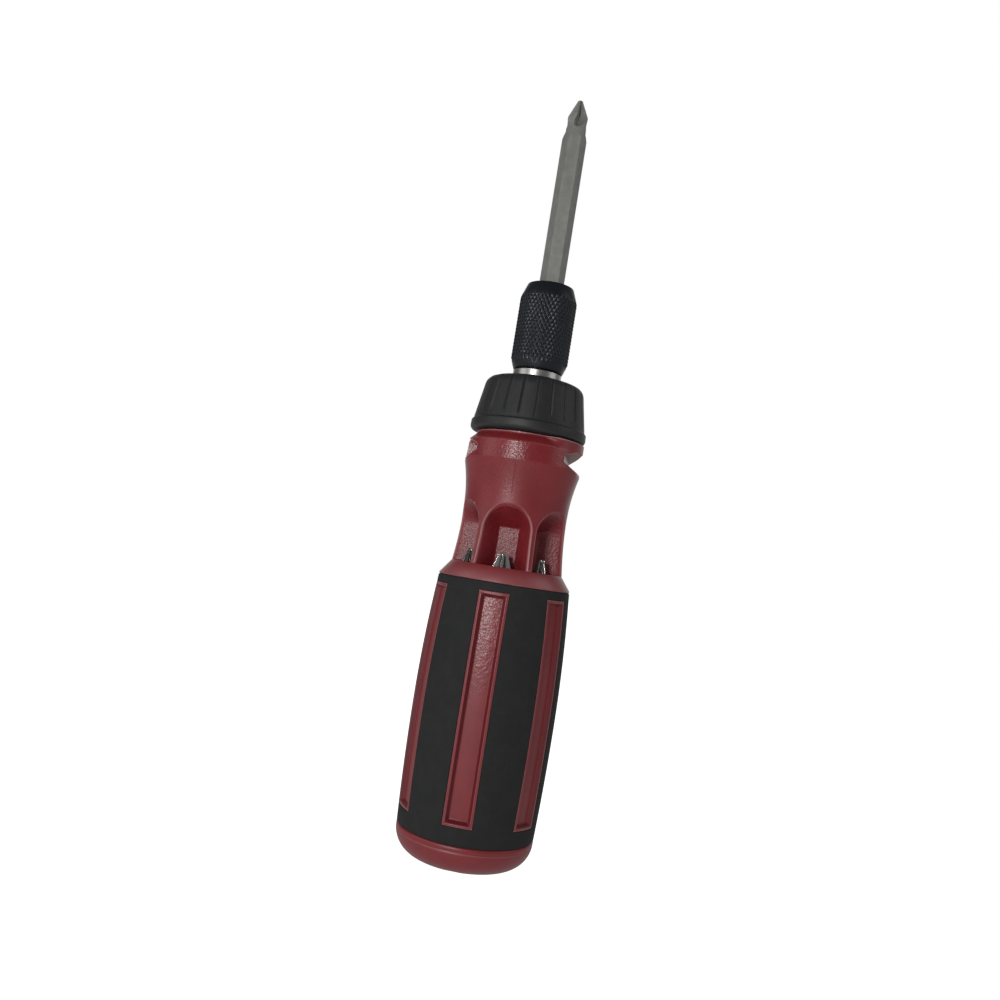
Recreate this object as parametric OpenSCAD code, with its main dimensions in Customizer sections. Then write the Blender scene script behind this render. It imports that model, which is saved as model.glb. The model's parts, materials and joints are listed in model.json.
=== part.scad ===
// Ratcheting multi-bit screwdriver: bits stored in the handle, a reversing
// ratchet under a fluted selector collar, and a pull-to-release bit chuck.
// Millimetres. The axis is +Z, the base stands on z = 0 and the working tip is up.
// A storage window faces -Y.

/* [Bits] */
// Across flats of the hexagon bits
hex_af = 6.35; // [6:0.05:6.6]
// Overall length of every bit
bit_len = 86.5; // [80:0.5:92]
// Length from the hexagon's end to the very tip
bit_nose = 12.6; // [10:0.1:16]
// Length of the cone between hexagon and neck
bit_cone = 2.5; // [1.5:0.1:4]
// Length of the pointed end of a cross tip
cross_point = 5.2; // [4:0.1:7]
// Neck diameter of the large tips
neck_large = 6.0; // [5:0.1:6.2]
// Neck diameter of the small tips
neck_small = 4.6; // [3.5:0.1:5]

/* [Handle lengths] */
// Height of the rounded base below the grip
base_h = 8.4; // [8:0.1:12]
// Length of the rubber grip
grip_len = 70.8; // [62:0.2:80]
// Height of the sloping ring above the grip
sill_h = 4.5; // [3:0.1:6]
// Height of the storage windows
window_h = 17.3; // [16:0.1:20]
// Height from the windows' tops to the shoulder band
throat_h = 12.5; // [10:0.1:16]
// Height of the shoulder band
shoulder_h = 5.3; // [4.5:0.1:7]
// Height of the neck above the shoulder band
neck_h = 2.8; // [2:0.1:4]
// Length of the spigot that joins the head to the grip core
spigot_len = 10; // [6:0.1:14]

/* [Handle diameters] */
// Base where it meets the grip
base_d = 39.4; // [37:0.2:40]
// Radius of the base's lower edge
base_round = 7.5; // [5:0.1:8]
// Grip at its fullest
grip_d = 41.2; // [40.2:0.1:44]
// Grip at its upper end
grip_top_d = 38.2; // [37:0.2:39.8]
// Ledge under the windows
sill_d = 32.4; // [31.6:0.1:34]
// Waist at its narrowest
waist_d = 30.3; // [29.5:0.1:31.4]
// Shoulder band
shoulder_d = 34.4; // [32:0.1:36]
// Neck under the collar
neck_d = 29.3; // [28:0.1:30]
// Spigot that joins the head to the grip core
spigot_d = 12; // [10:0.1:13]

/* [Grip panels] */
// Thickness of the rubber
rubber_t = 2.0; // [1.5:0.1:2.6]
// Width of a panel over its rims
panel_w = 8.5; // [7:0.1:10]
// Width of a panel's rim
panel_rim = 1.15; // [0.8:0.05:1.5]
// Depth of a panel's recess
panel_depth = 1.2; // [0.8:0.1:1.6]
// Rubber left below a panel
panel_low = 5.0; // [3:0.1:8]
// Rubber left above a panel
panel_high = 2.4; // [1.5:0.1:4]

/* [Windows and notches] */
// Radius at which the bits are stored
store_r = 11.7; // [11.5:0.05:11.9]
// Half width of a window's back wall
window_back = 2.9; // [2.4:0.1:3.4]
// Half width of a window at the waist's surface
window_half = 7.0; // [6:0.1:7.2]
// Depth of the two shoulder notches
notch_depth = 4.7; // [3:0.1:5.5]
// Height of a notch at the surface
notch_open = 5.0; // [3.5:0.1:5.2]
// Half angle of the raised part of the neck
lug_half = 53; // [30:1:60]

/* [Selector collar] */
// Height of the collar
collar_h = 17.2; // [16.8:0.1:18.5]
// Flange at the collar's foot
flange_d = 34.0; // [33.4:0.1:36]
// Foot of the fluted cone
collar_low_d = 32.6; // [32:0.1:33.2]
// Top of the fluted cone
collar_top_d = 29.4; // [28.8:0.1:30.4]
// Number of grip grooves
groove_n = 22; // [12:1:28]
// Turn of the first groove from the front, degrees
groove_turn = -6; // [-15:1:15]
// Width of a grip groove
groove_w = 0.9; // [0.5:0.05:1.4]
// Depth of a grip groove
groove_depth = 0.5; // [0.3:0.05:0.8]
// Least wall of the collar round the ratchet housing, behind the grooves
collar_wall = 1.7; // [1.2:0.1:1.7]
// Turn from the middle to either drive direction, degrees
select_turn = 20; // [15:1:20]

/* [Chuck] */
// Diameter of the bright ring below the sleeve
ring_d = 14.3; // [13.5:0.1:15.5]
// Height of the bright ring
ring_h = 2.2; // [1.5:0.1:3]
// Diameter of the knurled sleeve
sleeve_d = 16.9; // [16.2:0.1:18]
// Length of the sleeve
sleeve_len = 25.7; // [25:0.1:28]
// Diameter of the sleeve's lower end
sleeve_low_d = 14.6; // [13.8:0.1:15.2]
// Diameter of the sleeve's upper end
sleeve_top_d = 13.9; // [13.6:0.1:14.6]
// Height of the lower taper
sleeve_low_h = 3.3; // [2:0.1:5]
// Height of the upper taper
sleeve_top_h = 4.4; // [3:0.1:6]
// Travel of the sleeve
sleeve_travel = 4; // [3:0.1:4]
// Turn of the bit's flats about the axis, degrees
chuck_turn = 7; // [0:1:30]
// Turn of the fitted bit's wings from its flats, degrees
wing_turn = -28; // [-45:1:45]

/* [Ratchet] */
// Teeth on the ratchet wheel
gear_teeth = 24; // [24:12:24]
// Tip diameter of the ratchet wheel
gear_d = 13; // [12.8:0.05:13.2]
// Depth of a tooth
tooth_depth = 0.95; // [0.8:0.05:1]
// Thickness of the ratchet wheel
gear_h = 5.2; // [4.5:0.1:5.4]
// Distance of the pawl pivots from the axis
pivot_r = 8.6; // [8.5:0.05:8.7]
// Diameter of the pawl pins
pin_d = 1.8; // [1.4:0.1:2]
// Outside diameter of the ratchet housing
housing_d = 24.8; // [24.6:0.1:25]
// Across flats of the housing's stem
stem_af = 12; // [11.4:0.1:12.4]
// Length of the housing's stem
stem_len = 25.4; // [24:0.1:26]
// Diameter of the spindle's lower journal
journal_d = 8; // [7:0.1:8.4]
// Diameter of the spindle above the wheel
shank_d = 10; // [9.6:0.1:10.2]
// Diameter of the detent ball
detent_d = 3; // [2.4:0.1:3.2]

/* [Fits] */
// Radial clearance of turning and sliding fits
run_gap = 0.08; // [0.04:0.01:0.1]
// Radial clearance of pieces that are pressed or moulded together
seat_gap = 0.03; // [0.02:0.01:0.05]
// Clearance between flat faces that pass each other
face_gap = 0.2; // [0.1:0.05:0.3]
// Clearance between pieces that must not touch
free_gap = 0.3; // [0.25:0.05:0.35]

/* [Hidden] */

red = "#8c2a33";
black = "#26282a";
steel = "#b9b9b4";
grey = "#8b8d8e";
round_fn = 96;
curve_steps = 8;
store_n = 6;
store_turn = 360 / store_n;
over = 1;

// Heights, from the base up
grip_z0 = base_h;
grip_z1 = grip_z0 + grip_len;
sill_z = grip_z1 + sill_h;
ledge_z = sill_z - 0.2;
store_end = 0.8;
tip_z = store_end + bit_len;
tip_room = 1.5;
window_z = max(sill_z + window_h, tip_z + tip_room);
waist_z = window_z - 2;
shoulder_z0 = window_z + throat_h;
shoulder_z1 = shoulder_z0 + shoulder_h;
neck_z = shoulder_z1 + neck_h;
ledge_r = sill_d / 2 + (grip_top_d - sill_d) / 2 * (sill_z - ledge_z) / sill_h;
neck_chamfer = min((shoulder_d - neck_d) / 2 * 0.85, neck_h - 0.6);
collar_z0 = neck_z + free_gap;
collar_z1 = collar_z0 + collar_h;
ring_z0 = collar_z1 + run_gap;
ring_z1 = ring_z0 + ring_h;
sleeve_z0 = ring_z1 + face_gap;
sleeve_z1 = sleeve_z0 + sleeve_len;
panel_z0 = grip_z0 + panel_low;
panel_z1 = grip_z1 - panel_high;
grip_mid = (grip_z0 + grip_z1) / 2;

// Bits
hex_r = hex_af / 2 / cos(30);
store_hole = hex_r + run_gap;
window_behind = 0.35;
bit_sunk = 28.8;
driver_z = sleeve_z1 - bit_sunk;

// Ratchet, from the housing's floor up
floor_t = 4;
gear_z0 = neck_z + floor_t + run_gap;
gear_z1 = gear_z0 + gear_h;
gear_tip = gear_d / 2;
gear_root = gear_tip - tooth_depth;
pawl_h = gear_h - 2 * face_gap - 0.3;
pawl_z0 = neck_z + floor_t + 2 * face_gap;
pawl_z1 = pawl_z0 + pawl_h;
pawl_spring_h = 1.8;
cover_t = 2;
cover_z0 = pawl_z1 + pawl_spring_h + 2 * face_gap;
cover_z1 = cover_z0 + cover_t;
screw_head_h = 1;
collar_top_t = collar_z1 - cover_z1 - screw_head_h - free_gap;
collar_bore = housing_d / 2 + run_gap;
collar_grow = max(0, collar_bore + collar_wall + groove_depth - collar_top_d / 2);
stem_z0 = neck_z - stem_len;
stem_r = stem_af / 2 / cos(30);
pin_r = pin_d / 2;
boss_r = pivot_r - gear_tip - face_gap;
nose_angle = -45;
nose_r = gear_tip - 0.22;
tail_angle = 25;
tail_tip = 0.7;
tail_r = housing_d / 2 - 1.6;
cam_r = tail_r + tail_tip + 0.25;
cam_rise = 0.909;
cam_a0 = 0;
cam_a1 = 50;
slot_r = cam_r + cam_rise * (cam_a0 - tail_angle) * PI / 180 - free_gap;
slot_a0 = cam_a0 - select_turn - 3;
slot_a1 = cam_a1 + select_turn + 3;
gear_pocket = gear_tip + 0.5;
wall_half = 38;
cover_r = slot_r;
screw_r = cover_r - 1.75;
screw_angles = [90, 270 - 26, 270 + 26];
screw_d = 1.6;
screw_head_d = 3;
screw_len = 7;
detent_z = (pawl_z0 + pawl_z1) / 2;
detent_r = collar_bore - face_gap - detent_d / 2;
detent_back = gear_pocket + 0.5;

// Spindle and chuck
journal_r = journal_d / 2;
seat_r = journal_r + 0.4;
shank_r = shank_d / 2;
spindle_z0 = stem_z0 + 9.8;
spindle_z1 = sleeve_z1 - 1.3;
journal_z0 = spindle_z0 + 3.5;
counterbore_r = journal_r + 1.2;
clip_h = 0.9;
clip_z0 = spindle_z0 + 1.4;
clip_depth = 0.5;
washer_z0 = clip_z0 + clip_h + face_gap / 2;
washer_h = journal_z0 - washer_z0 - face_gap / 2;
socket_af = hex_af + 0.1;
magnet_r = 2.8;
magnet_h = 3;
magnet_z = driver_z - face_gap / 2 - magnet_h;
ball_r = 0.98;
ball_out = hex_af / 2 + 0.045 + ball_r;
ball_z = sleeve_z0 + 11.9;
ball_room = 1;
land_z0 = ball_z + ball_r + ball_room - sleeve_travel;
land_z1 = ball_z + 2.5;
guide_h = ball_z - ball_r - ball_room - sleeve_travel - sleeve_z0;
land_r = ball_out + ball_r + 0.17;
chamber_r = sleeve_top_d / 2 - 0.65;
stop_z = spindle_z1 - 2.4;
stop_h = 0.6;
snap_h = 0.75;
snap_depth = 0.45;
spring_wire = 0.5;
spring_turns = 4.25;
spring_rings = 8;
spring_chord = cos(180 / spring_rings);
spring_r = ((shank_r + spring_wire / 2) / spring_chord + chamber_r - spring_wire / 2) / 2;
spring_z0 = land_z1;
spring_h = stop_z - spring_z0;

// Radius that bows from one end value to another, t from 0 to 1
function bow(from, to, t) = from + (to - from) * t * t;

// Outside radius of the grip at a height
function grip_r(z) = z < grip_mid
    ? bow(grip_d / 2, base_d / 2, (grip_mid - z) / (grip_mid - grip_z0))
    : bow(grip_d / 2, grip_top_d / 2, (z - grip_mid) / (grip_z1 - grip_mid));

// Outside radius of the handle between sill and shoulder
function waist_r(z) = z < waist_z
    ? bow(waist_d / 2, sill_d / 2, (waist_z - z) / (waist_z - sill_z))
    : bow(waist_d / 2, shoulder_d / 2, (z - waist_z) / (shoulder_z0 - waist_z));

// Heights that divide a stretch evenly
function steps(z0, z1, n) = [for (i = [0 : n]) z0 + (z1 - z0) * i / n];

// A solid of revolution that follows the grip, set in by a given amount
module grip_solid(inset, z0, z1) {
    side = [for (z = steps(z0, z1, 2 * curve_steps)) [grip_r(z) - inset, z]];
    rotate_extrude($fn = round_fn) polygon(concat([[0, z0]], side, [[0, z1]]));
}

// Copies for every storage place, the first one facing -Y
module each_store() {
    for (i = [0 : store_n - 1]) rotate(i * store_turn) children();
}

// Boxes through the grip at every panel
module panel_boxes(width, z0, z1) {
    each_store() translate([-width / 2, -grip_d, z0]) cube([width, grip_d - store_r, z1 - z0]);
}

// A flat ring
module ring(r_out, r_in, h) {
    difference() {
        cylinder(r = r_out, h = h, $fn = round_fn);
        translate([0, 0, -over]) cylinder(r = r_in, h = h + 2 * over, $fn = round_fn);
    }
}

// A ring with a gap, sprung into a groove
module open_ring(r_out, r_in, h, gap) {
    difference() {
        ring(r_out, r_in, h);
        translate([0, -gap / 2, -over]) cube([r_out + over, gap, h + 2 * over]);
    }
}

// A flat sector that reaches out to a radius
module sector(r, a0, a1) {
    mid = (a0 + a1) / 2;
    reach = r / cos((a1 - a0) / 4) + over;
    polygon([[0, 0], reach * [cos(a0), sin(a0)], reach * [cos((a0 + mid) / 2), sin((a0 + mid) / 2)],
             reach * [cos(mid), sin(mid)], reach * [cos((a1 + mid) / 2), sin((a1 + mid) / 2)],
             reach * [cos(a1), sin(a1)]]);
}

// Points on the centre line of a wound spring
function coil_at(t, r, h, turns) = [r * cos(360 * turns * t), r * sin(360 * turns * t), h * t];

// Least gap of a wound spring to itself, measured between its own rings
function coil_gap(r, h, turns, wire, rings) = min([
    for (i = [0 : turns * rings]) for (j = [i + rings / 2 : turns * rings])
        norm(coil_at(i / turns / rings, r, h, turns) - coil_at(j / turns / rings, r, h, turns))
]) - wire;

// A round-wire spring, one unbroken tube from z = 0 to h
module wound_spring(r, h, turns, wire) {
    sides = 6;
    rings = spring_rings;
    last = floor(turns * rings);
    rise = h - wire;
    slope = atan(rise / (2 * PI * r * turns));
    points = [for (i = [0 : last]) let (a = 360 * i / rings, c = coil_at(i / last, r, rise, turns))
        for (k = [0 : sides - 1]) let (p = 360 * k / sides, out = cos(p) * wire / 2, up = sin(p) * wire / 2)
            c + [0, 0, wire / 2] + out * [cos(a), sin(a), 0]
              + up * [sin(slope) * sin(a), -sin(slope) * cos(a), cos(slope)]];
    walls = [for (i = [0 : last - 1]) for (k = [0 : sides - 1])
        let (a = i * sides + k, b = i * sides + (k + 1) % sides)
            each [[a, b, b + sides], [a, b + sides, a + sides]]];
    caps = [for (k = [1 : sides - 2])
        each [[0, k + 1, k], [last * sides, last * sides + k, last * sides + k + 1]]];
    echo("spring gap", coil_gap(r, rise, turns, wire, rings));
    polyhedron(points = points, faces = concat(walls, caps));
}

// One storage window: an arch at the surface narrowing to a square-topped back wall
module window_pocket() {
    back_y = store_r - store_hole - window_behind;
    side_slope = (window_half - window_back) / (waist_d / 2 * 0.91 - back_y);
    front_y = shoulder_d / 2 + 0.3;
    front_half = window_back + side_slope * (front_y - back_y);
    back_top = max(sill_z + (window_z - sill_z) * 0.65, tip_z + tip_room);
    low_z = ledge_z - over;
    front_top = window_z + (window_z - back_top) * (front_y - waist_d / 2) / (waist_d / 2 - back_y);
    hull() {
        window_slab(front_y) {
            translate([-front_half, low_z]) square([2 * front_half, front_top - front_half - low_z]);
            translate([0, front_top - front_half]) circle(r = front_half, $fn = 32);
        }
        window_slab(back_y) translate([-window_back, low_z]) square([2 * window_back, back_top - low_z]);
    }
}

// Lays a flat shape in the plane y = -distance, as a very thin slab
module window_slab(distance) {
    translate([0, -distance, 0]) rotate([90, 0, 0]) linear_extrude(0.02) children();
}

// A straight V groove across one side of the shoulder
module shoulder_notch() {
    mid_z = (shoulder_z0 + shoulder_z1) / 2;
    apex = shoulder_d / 2 - notch_depth;
    apex_round = 0.8;
    flare = notch_open / 2 / notch_depth;
    reach = notch_depth + over;
    rotate([90, 0, 0]) translate([0, 0, -shoulder_d]) linear_extrude(2 * shoulder_d) {
        polygon([[apex, mid_z - apex_round], [apex, mid_z + apex_round],
                 [apex + reach, mid_z + apex_round + flare * reach],
                 [apex + reach, mid_z - apex_round - flare * reach]]);
        translate([apex, mid_z]) circle(r = apex_round, $fn = 32);
    }
}

// Outline of the grip core, with the rubber's seat turned down and a sloping sill on top
module core_outline() {
    base_flat = base_d / 2 - base_round;
    foot = [for (a = [0 : 90 / curve_steps : 90])
        [base_flat + base_round * sin(a), base_round - base_round * cos(a)]];
    seat = [for (z = steps(grip_z0, grip_z1, 2 * curve_steps)) [grip_r(z) - rubber_t, z]];
    polygon(concat([[0, 0]], foot, [[base_d / 2, grip_z0]], seat,
                   [[grip_top_d / 2, grip_z1], [ledge_r, ledge_z], [0, ledge_z]]));
}

// Outline of the head, from the windows' sill to the neck
module head_outline() {
    waist = [for (z = steps(sill_z, shoulder_z0, 2 * curve_steps)) [waist_r(z), z]];
    top_r = shoulder_d / 2 - 0.3;
    polygon(concat([[0, ledge_z], [ledge_r, ledge_z]], waist,
                   [[top_r, shoulder_z1], [neck_d / 2, shoulder_z1 + neck_chamfer],
                    [neck_d / 2, neck_z], [0, neck_z]]));
}

// Lower red moulding: base, bit store, panels and sill
module handle_core() {
    color(red) difference() {
        union() {
            rotate_extrude($fn = round_fn) core_outline();
            intersection() {
                grip_solid(0, panel_z0, panel_z1);
                panel_boxes(panel_w, panel_z0, panel_z1);
            }
        }
        difference() {
            panel_boxes(panel_w - 2 * panel_rim, panel_z0 + panel_rim, panel_z1 - panel_rim);
            grip_solid(panel_depth, panel_z0 - over, panel_z1 + over);
        }
        each_store() translate([0, -store_r, -over])
            cylinder(r = store_hole, h = ledge_z + 2 * over, $fn = round_fn);
        translate([0, 0, ledge_z - spigot_len - face_gap])
            cylinder(d = spigot_d + 2 * seat_gap, h = spigot_len + over, $fn = round_fn);
    }
}

// Upper red moulding: windows, waist, shoulder and neck, bonded in by its spigot
module handle_head() {
    lug_z = shoulder_z1 - over;
    color(red) difference() {
        union() {
            rotate_extrude($fn = round_fn) head_outline();
            translate([0, 0, ledge_z - spigot_len])
                cylinder(d = spigot_d, h = spigot_len + over, $fn = round_fn);
            translate([0, 0, lug_z]) intersection() {
                cylinder(r = shoulder_d / 2 - 0.3, h = neck_h + over, $fn = round_fn);
                linear_extrude(neck_h + over) sector(shoulder_d / 2, -lug_half, lug_half);
            }
        }
        each_store() window_pocket();
        translate([0, 0, stem_z0 - face_gap])
            rotate(30) cylinder(r = stem_r + seat_gap, h = stem_len + over, $fn = 6);
        shoulder_notch();
        mirror([1, 0, 0]) shoulder_notch();
    }
}

// Rubber grip moulded round the panels
module grip_sleeve() {
    color(black) difference() {
        grip_solid(0, grip_z0 + seat_gap, grip_z1 - seat_gap);
        grip_solid(rubber_t - seat_gap, grip_z0 - over, grip_z1 + over);
        panel_boxes(panel_w + 2 * seat_gap, panel_z0 - seat_gap, panel_z1 + seat_gap);
    }
}

// Housing of the ratchet: a hexagon stem in the handle and two walls round the wheel
module ratchet_body() {
    color(grey) difference() {
        union() {
            translate([0, 0, stem_z0]) rotate(30) cylinder(r = stem_r, h = stem_len + over, $fn = 6);
            translate([0, 0, neck_z]) cylinder(d = housing_d, h = floor_t, $fn = round_fn);
            housing_wall(slot_a1, 180 - slot_a1);
            housing_wall(270 - wall_half, 270 + wall_half);
        }
        translate([0, 0, journal_z0 - over])
            cylinder(r = journal_r + run_gap, h = stem_len + floor_t, $fn = round_fn);
        translate([0, 0, stem_z0 - over])
            cylinder(r = counterbore_r, h = journal_z0 - stem_z0 + over, $fn = round_fn);
        for (side = [-1, 1]) translate([side * pivot_r, 0, neck_z + floor_t - 2.6])
            cylinder(r = pin_r + seat_gap, h = cover_z1, $fn = round_fn);
        for (a = screw_angles) rotate(a) translate([screw_r, 0, cover_z1 - screw_len])
            cylinder(d = screw_d + 2 * seat_gap, h = screw_len, $fn = round_fn);
        translate([0, -detent_back, detent_z]) rotate([90, 0, 0])
            cylinder(d = detent_d + 2 * run_gap, h = housing_d, $fn = round_fn);
    }
}

// One wall of the housing, rooted in its floor
module housing_wall(a0, a1) {
    wall_h = cover_z0 - neck_z - floor_t + over;
    translate([0, 0, neck_z + floor_t - over]) intersection() {
        ring(housing_d / 2, gear_pocket, wall_h);
        linear_extrude(wall_h) sector(housing_d / 2, a0, a1);
    }
}

// Plate that closes the ratchet
module ratchet_cover() {
    color(grey) translate([0, 0, cover_z0]) difference() {
        ring(cover_r, shank_r + run_gap, cover_t);
        for (side = [-1, 1]) translate([side * pivot_r, 0, -over])
            cylinder(r = pin_r + seat_gap, h = cover_t + 2 * over, $fn = round_fn);
        for (a = screw_angles) rotate(a) translate([screw_r, 0, -over])
            cylinder(d = screw_d + 2 * seat_gap, h = cover_t + 2 * over, $fn = round_fn);
    }
}

// Screws through the cover
module cover_screws() {
    shank = screw_len - face_gap;
    color(steel) for (a = screw_angles) rotate(a) translate([screw_r, 0, cover_z1]) difference() {
        union() {
            translate([0, 0, -shank]) cylinder(d = screw_d, h = shank, $fn = round_fn);
            cylinder(d = screw_head_d, h = screw_head_h, $fn = round_fn);
        }
        translate([0, 0, screw_head_h / 2]) cylinder(d = 1.5, h = screw_head_h, $fn = 6);
    }
}

// Spindle: journal, wheel seat, bright ring and chuck body in one turned piece
module spindle() {
    clip_floor = journal_r - clip_depth;
    snap_floor = shank_r - snap_depth;
    snap_z = stop_z + stop_h;
    lead = 0.5;
    outline = [
        [0, spindle_z0], [journal_r - lead, spindle_z0], [journal_r, spindle_z0 + lead],
        [journal_r, clip_z0], [clip_floor, clip_z0],
        [clip_floor, clip_z0 + clip_h], [journal_r, clip_z0 + clip_h],
        [journal_r, gear_z0], [seat_r, gear_z0], [seat_r, gear_z1], [shank_r, gear_z1],
        [shank_r, ring_z0], [ring_d / 2, ring_z0], [ring_d / 2, ring_z1], [shank_r, ring_z1],
        [shank_r, snap_z], [snap_floor, snap_z], [snap_floor, snap_z + snap_h], [shank_r, snap_z + snap_h],
        [shank_r, spindle_z1 - lead], [shank_r - lead, spindle_z1], [0, spindle_z1]];
    color(steel) difference() {
        rotate_extrude($fn = round_fn) polygon(outline);
        translate([0, 0, driver_z - face_gap / 2]) rotate(chuck_turn)
            cylinder(r = socket_af / 2 / cos(30), h = bit_sunk + over, $fn = 6);
        translate([0, 0, magnet_z]) cylinder(r = magnet_r + seat_gap, h = magnet_h + over, $fn = round_fn);
        translate([0, 0, ball_z]) rotate(chuck_turn + 90) rotate([0, 90, 0])
            cylinder(r = ball_r + run_gap, h = 2 * sleeve_d, center = true, $fn = round_fn);
    }
}

// Ratchet wheel
module ratchet_gear() {
    root_half = 0.35;
    mouth_half = 0.72;
    color(steel) translate([0, 0, gear_z0]) linear_extrude(gear_h) difference() {
        circle(r = gear_tip, $fn = round_fn);
        circle(r = seat_r + seat_gap, $fn = round_fn);
        for (i = [0 : gear_teeth - 1]) rotate(i * 360 / gear_teeth)
            polygon([[gear_root, -root_half], [gear_root + 1.3, -mouth_half],
                     [gear_root + 1.3, mouth_half], [gear_root, root_half]]);
    }
}

// Thrust washer above the circlip
module spindle_washer() {
    color(steel) translate([0, 0, washer_z0])
        ring(counterbore_r - face_gap, journal_r + run_gap, washer_h);
}

// Circlip that holds the spindle in the housing
module spindle_circlip() {
    color(grey) translate([0, 0, clip_z0 + seat_gap])
        open_ring(counterbore_r - free_gap, journal_r - clip_depth + seat_gap, clip_h - 2 * seat_gap, 2);
}

// A straight bar between two points in the plane, square ended
module bar(from, to, half, h) {
    along = (to - from) / norm(to - from);
    across = half * [-along[1], along[0]];
    linear_extrude(h) polygon([from - across, from + across, to + across, to - across]);
}

// The pawl on the +X side: a boss on its pin, a nose for the wheel and a tail for the cam
module pawl() {
    pivot = [pivot_r, 0];
    heel_r = 8.4;
    arm_half = 0.8;
    nose_half = 0.12;
    heel_half = 0.72;
    heel = heel_r * [cos(nose_angle), sin(nose_angle)];
    tail = tail_r * [cos(tail_angle), sin(tail_angle)];
    translate([0, 0, pawl_z0]) difference() {
        union() {
            translate(pivot) cylinder(r = boss_r, h = pawl_h, $fn = round_fn);
            rotate(nose_angle) linear_extrude(pawl_h)
                polygon([[nose_r, -nose_half], [heel_r, -heel_half],
                         [heel_r, heel_half], [nose_r, nose_half]]);
            bar(heel, pivot, arm_half, pawl_h);
            bar(pivot, tail, tail_tip, pawl_h);
            translate(tail) cylinder(r = tail_tip, h = pawl_h, $fn = round_fn);
        }
        translate([pivot_r, 0, -over]) cylinder(r = pin_r + run_gap, h = pawl_h + 2 * over, $fn = round_fn);
    }
}

// Pawl that drives forward
module pawl_forward() {
    color(steel) pawl();
}

// Pawl that drives in reverse, the mirror image
module pawl_reverse() {
    color(steel) mirror([1, 0, 0]) pawl();
}

// Pins that the pawls turn on
module pawl_pins() {
    pin_z0 = neck_z + floor_t - 2.6 + face_gap / 2;
    color(grey) for (side = [-1, 1]) translate([side * pivot_r, 0, pin_z0])
        cylinder(r = pin_r, h = cover_z1 - pin_z0, $fn = round_fn);
}

// Springs on the pins that press the pawls inwards
module pawl_springs() {
    wire = 0.36;
    coil_r = pin_r + wire / 2 + 0.14;
    color(steel) for (side = [-1, 1]) translate([side * pivot_r, 0, pawl_z1 + face_gap])
        wound_spring(coil_r, pawl_spring_h, 1.75, wire);
}

// Cam that works one pawl's tail, as a flat plan
module cam_plan() {
    cam = [for (a = [cam_a0 : 5 : cam_a1])
        (cam_r + cam_rise * (a - tail_angle) * PI / 180) * [cos(a), sin(a)]];
    back_r = collar_bore + 0.4;
    back = [for (a = [cam_a1 : -5 : cam_a0]) back_r * [cos(a), sin(a)]];
    polygon(concat(cam, back));
}

// Fluted collar that chooses the drive direction
module selector_collar() {
    bead_h = 4.2;
    cone_top = collar_z1 - 3.8;
    cone_low = collar_z0 + bead_h;
    lean = atan((collar_low_d - collar_top_d) / 2 / (cone_top - cone_low));
    roof_z = collar_z1 - collar_top_t;
    hole_r = shank_r + 0.5;
    bead_r = flange_d / 2 + collar_grow;
    cone_r = collar_low_d / 2 + collar_grow;
    crown_r = collar_top_d / 2 + collar_grow;
    outline = [
        [collar_bore, collar_z0], [bead_r - 1.5, collar_z0], [bead_r - 0.4, collar_z0 + 0.5],
        [bead_r, collar_z0 + 1.3], [bead_r - 0.1, collar_z0 + 2.5], [cone_r + 0.15, collar_z0 + 3.7],
        [cone_r, cone_low], [crown_r, cone_top], [crown_r - 0.3, cone_top + 1.4],
        [crown_r - 1.3, cone_top + 2.6], [crown_r - 2.8, cone_top + 3.5], [ring_d / 2 + 0.3, collar_z1],
        [hole_r, collar_z1], [hole_r, roof_z], [collar_bore, roof_z]];
    color(black) {
        difference() {
            rotate_extrude($fn = round_fn) polygon(outline);
            for (i = [0 : groove_n - 1]) rotate(270 + groove_turn + i * 360 / groove_n)
                translate([cone_r, 0, cone_low + 0.5]) rotate([0, -lean, 0])
                    translate([-groove_depth, -groove_w / 2, 0]) cube([3, groove_w, collar_h]);
            for (a = [-1, 0, 1]) rotate(270 + a * select_turn)
                translate([detent_r + 0.4, 0, collar_z0 - over])
                    cylinder(d = detent_d + 2 * run_gap, h = detent_z + detent_d - collar_z0, $fn = round_fn);
        }
        for (side = [0, 1]) mirror([side, 0, 0])
            translate([0, 0, pawl_z0]) linear_extrude(roof_z - pawl_z0 + 0.3) cam_plan();
    }
}

// Ball that clicks into the collar's grooves
module detent_ball() {
    color(steel) translate([0, -detent_r, detent_z]) sphere(d = detent_d, $fn = round_fn);
}

// Spring behind the detent ball
module detent_spring() {
    wire = 0.36;
    length = detent_r - detent_d / 2 - detent_back;
    color(steel) translate([0, -detent_back, detent_z]) rotate([90, 0, 0])
        wound_spring(detent_d / 2 - wire, length, 1.75, wire);
}

// Knurled sleeve of the chuck, plain outside here apart from its tapers and grip rows
module chuck_sleeve() {
    guide_z = sleeve_z0 + guide_h;
    body_r = sleeve_d / 2;
    row_n = 24;
    row_w = 0.5;
    row_depth = 0.25;
    row_z0 = sleeve_z0 + sleeve_low_h + 0.6;
    row_z1 = sleeve_z1 - sleeve_top_h - 0.6;
    outline = [
        [shank_r + run_gap, sleeve_z0], [sleeve_low_d / 2, sleeve_z0], [body_r, sleeve_z0 + sleeve_low_h],
        [body_r, sleeve_z1 - sleeve_top_h], [sleeve_top_d / 2, sleeve_z1], [chamber_r, sleeve_z1],
        [chamber_r, land_z1], [land_r, land_z1], [land_r, land_z0], [chamber_r, land_z0],
        [chamber_r, guide_z], [shank_r + run_gap, guide_z]];
    color(black) difference() {
        rotate_extrude($fn = round_fn) polygon(outline);
        for (i = [0 : row_n - 1]) rotate(i * 360 / row_n)
            translate([body_r - row_depth, -row_w / 2, row_z0]) cube([over, row_w, row_z1 - row_z0]);
    }
}

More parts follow.
